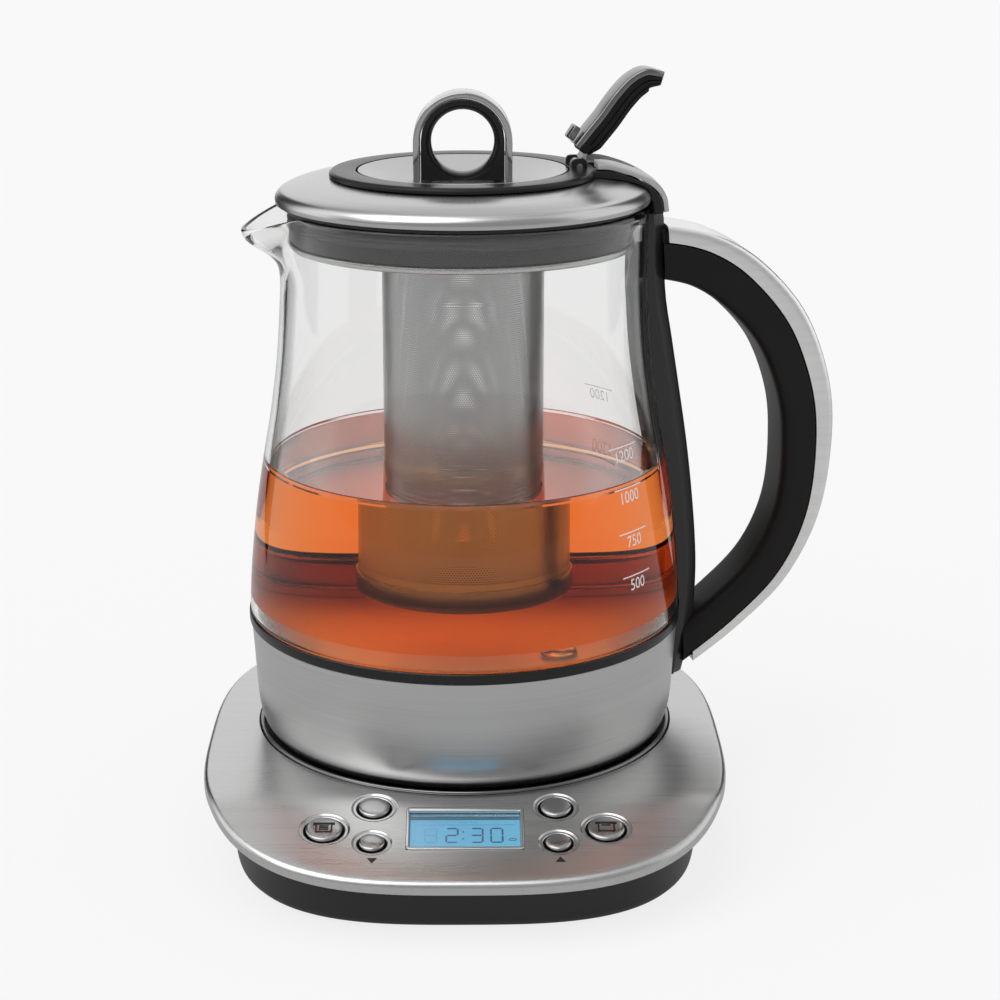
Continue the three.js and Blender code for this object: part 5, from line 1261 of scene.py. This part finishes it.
# %% Finishes on carried-over pieces
kept = {}
for paint, names in (
        (rubber_black, ["rubber_foot_1", "rubber_foot_2", "rubber_foot_3", "rubber_foot_4", "cord_gland"]),
        (board_green, ["power_board", "control_board"]), (relay_blue, ["power_relay"]),
        (socket_black, ["buzzer", "button_guide", "coupler_socket"]), (seal_grey, ["keypad_mat", "cap_seal"]),
        (silicone, ["glass_gasket"]), (element_metal, ["heating_element"]), (ceramic, ["dry_boil_thermostat"]),
        (plain_steel, ["lever_pin", "lever_tongue", "cap_screw_1", "cap_screw_2"])):
    kept.update(dict.fromkeys(names, paint))
for name, paint in kept.items():
    node = frame["nodes"][name]
    if node.material_slots:
        for slot in node.material_slots:
            slot.material = paint
    else:
        node.data.materials.append(paint)
stood_for = {n for o in bpy.context.scene.objects for n in o.get("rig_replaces", [])}
print("CAD pieces without a new finish:", sorted(set(frame["nodes"]) - stood_for - set(kept)))

# %% [markdown]
# ## Studio
# The kettle stands on a plain pale floor in soft light. Mirrors and glass need something darker to show their
# shape. So dark cards stand behind at the sides, and the studio round the kettle has paler and darker parts.
# The camera doesn't see the cards, and they cast no shadow. The light is kept at a level where a colour
# renders about as it is written.

# %% Rays that show the pale studio
def showing(wire):
    """Rays seen from the camera, in a mirror or through glass, and all three together."""
    path = wire.tree.nodes.new("ShaderNodeLightPath")
    kinds = ("Camera", "Glossy", "Transmission")
    camera, glossy, through = (Wire(wire.tree, path.outputs[f"Is {kind} Ray"]) for kind in kinds)
    return camera, glossy, through, (camera + glossy + through).spread(0.0, 1.0)


# %% Floor and cards
bpy.ops.object.select_all(action="DESELECT")
bpy.ops.mesh.primitive_circle_add(vertices=96, radius=4.0, fill_type="NGON")
studio_floor = bpy.context.object
studio_floor.name = "studio_floor"


def floor_paint(wire):
    speck = noise(wire, (0.6, 0.6, 0.6), detail=2.0)
    ground = wire.node("ShaderNodeBsdfDiffuse", {}, {"Color": speck.mix(grey(0.925), grey(0.935))})
    _, glossy, through, shown = showing(wire)
    mirrored = glossy * (1 - through)
    glow = wire.node("ShaderNodeEmission", {}, {"Color": mirrored.mix(grey(0.945), grey(0.5)), "Strength": 1.0})
    return wire.node("ShaderNodeMixShader", {}, {0: shown * 0.86, 1: ground, 2: glow})


def card_paint(wire):
    speck = noise(wire, (0.6, 0.6, 0.6), detail=2.0)
    return principled(wire, Base_Color=speck.mix(grey(0.02), grey(0.03)), Roughness=0.9, Specular_IOR_Level=0.0)


studio_floor.data.materials.append(material("floor_paint", floor_paint))
card_black = material("card_black", card_paint)
cards = [flat(f"card_{side}", [(s * 360, 240), (s * 366, 240), (s * 760, 2000), (s * 754, 2000)], 0, 620)
         for side, s in (("left", -1), ("right", 1))]
for card in cards:
    card.location = (axis.x, axis.y, 0)
    card.data.materials.append(card_black)
    card.visible_camera = card.visible_diffuse = card.visible_shadow = False

# %% World
world = bpy.data.worlds.new("studio")
bpy.context.scene.world = world
world.use_nodes = True
world.node_tree.nodes.clear()
sky = Wire(world.node_tree)
toward = sky.node("ShaderNodeTexCoord", out=0)
parts = sky.node("ShaderNodeSeparateXYZ", {}, {"Vector": toward})
east, north, up = (Wire(world.node_tree, parts.socket.node.outputs[i]) for i in range(3))
turn = east.math("ARCTAN2", east, north * -1.0) * (180 / math.pi)
rise = up.math("ARCSINE", up) * (180 / math.pi)


def band(value, low, high, soft=7.0):
    """1 between two angles, with soft edges."""
    return value.spread(low - soft, low + soft) * (1 - value.spread(high - soft, high + soft))


right_box = band(turn, 72, 150) * band(rise, -12, 55) * 0.6
left_box = band(turn, -124, -84) * band(rise, -12, 50) * 0.75
near_box = band(turn, -74, -46) * band(rise, 16, 46) * 0.7
backdrop = turn.math("ABSOLUTE", turn).spread(138, 158) * (1 - rise.spread(38, 72)) * 0.56
overhead = rise.spread(48, 80) * 0.34
camera_ray, _, through, shown = showing(sky)
inside_jug = through * rise.spread(6, 28) * 0.9
studio = (right_box + left_box + near_box + backdrop + overhead + inside_jug + 0.38) / 2
around = shown.mix(grey(0.68), studio.mix(grey(0.0), grey(2.0)))
behind = camera_ray.mix(around, grey(0.945))
background = sky.node("ShaderNodeBackground", {}, {"Color": behind, "Strength": 1.0})
output = world.node_tree.nodes.new("ShaderNodeOutputWorld")
world.node_tree.links.new(background.socket, output.inputs["Surface"])

# %% A wide soft sun
data = bpy.data.lights.new("soft_sun", "SUN")
data.energy, data.angle = 1.2, math.radians(55)
soft_sun = bpy.data.objects.new("soft_sun", data)
bpy.context.scene.collection.objects.link(soft_sun)
soft_sun.rotation_euler = Vector((0.9, 0.7, -2.0)).to_track_quat("-Z", "Y").to_euler()

# %% Camera
camera_pitch, camera_roll = math.radians(90 - 16.4027), math.radians(-0.2)
camera_away, camera_height = 0.778, 0.3397
camera_data = bpy.data.cameras.new("camera")
camera_data.lens, camera_data.sensor_width, camera_data.shift_x = 83.736, 36.0, 0.0361
camera = bpy.data.objects.new("camera", camera_data)
bpy.context.scene.collection.objects.link(camera)
camera.location = (axis.x, axis.y - camera_away, camera_height)
camera.rotation_euler = (Matrix.Rotation(camera_pitch, 3, "X") @ Matrix.Rotation(camera_roll, 3, "Z")).to_euler()
bpy.context.scene.camera = camera
bpy.context.scene.view_settings.view_transform = "Standard"

# %% End
bpy.context.view_layer.update()
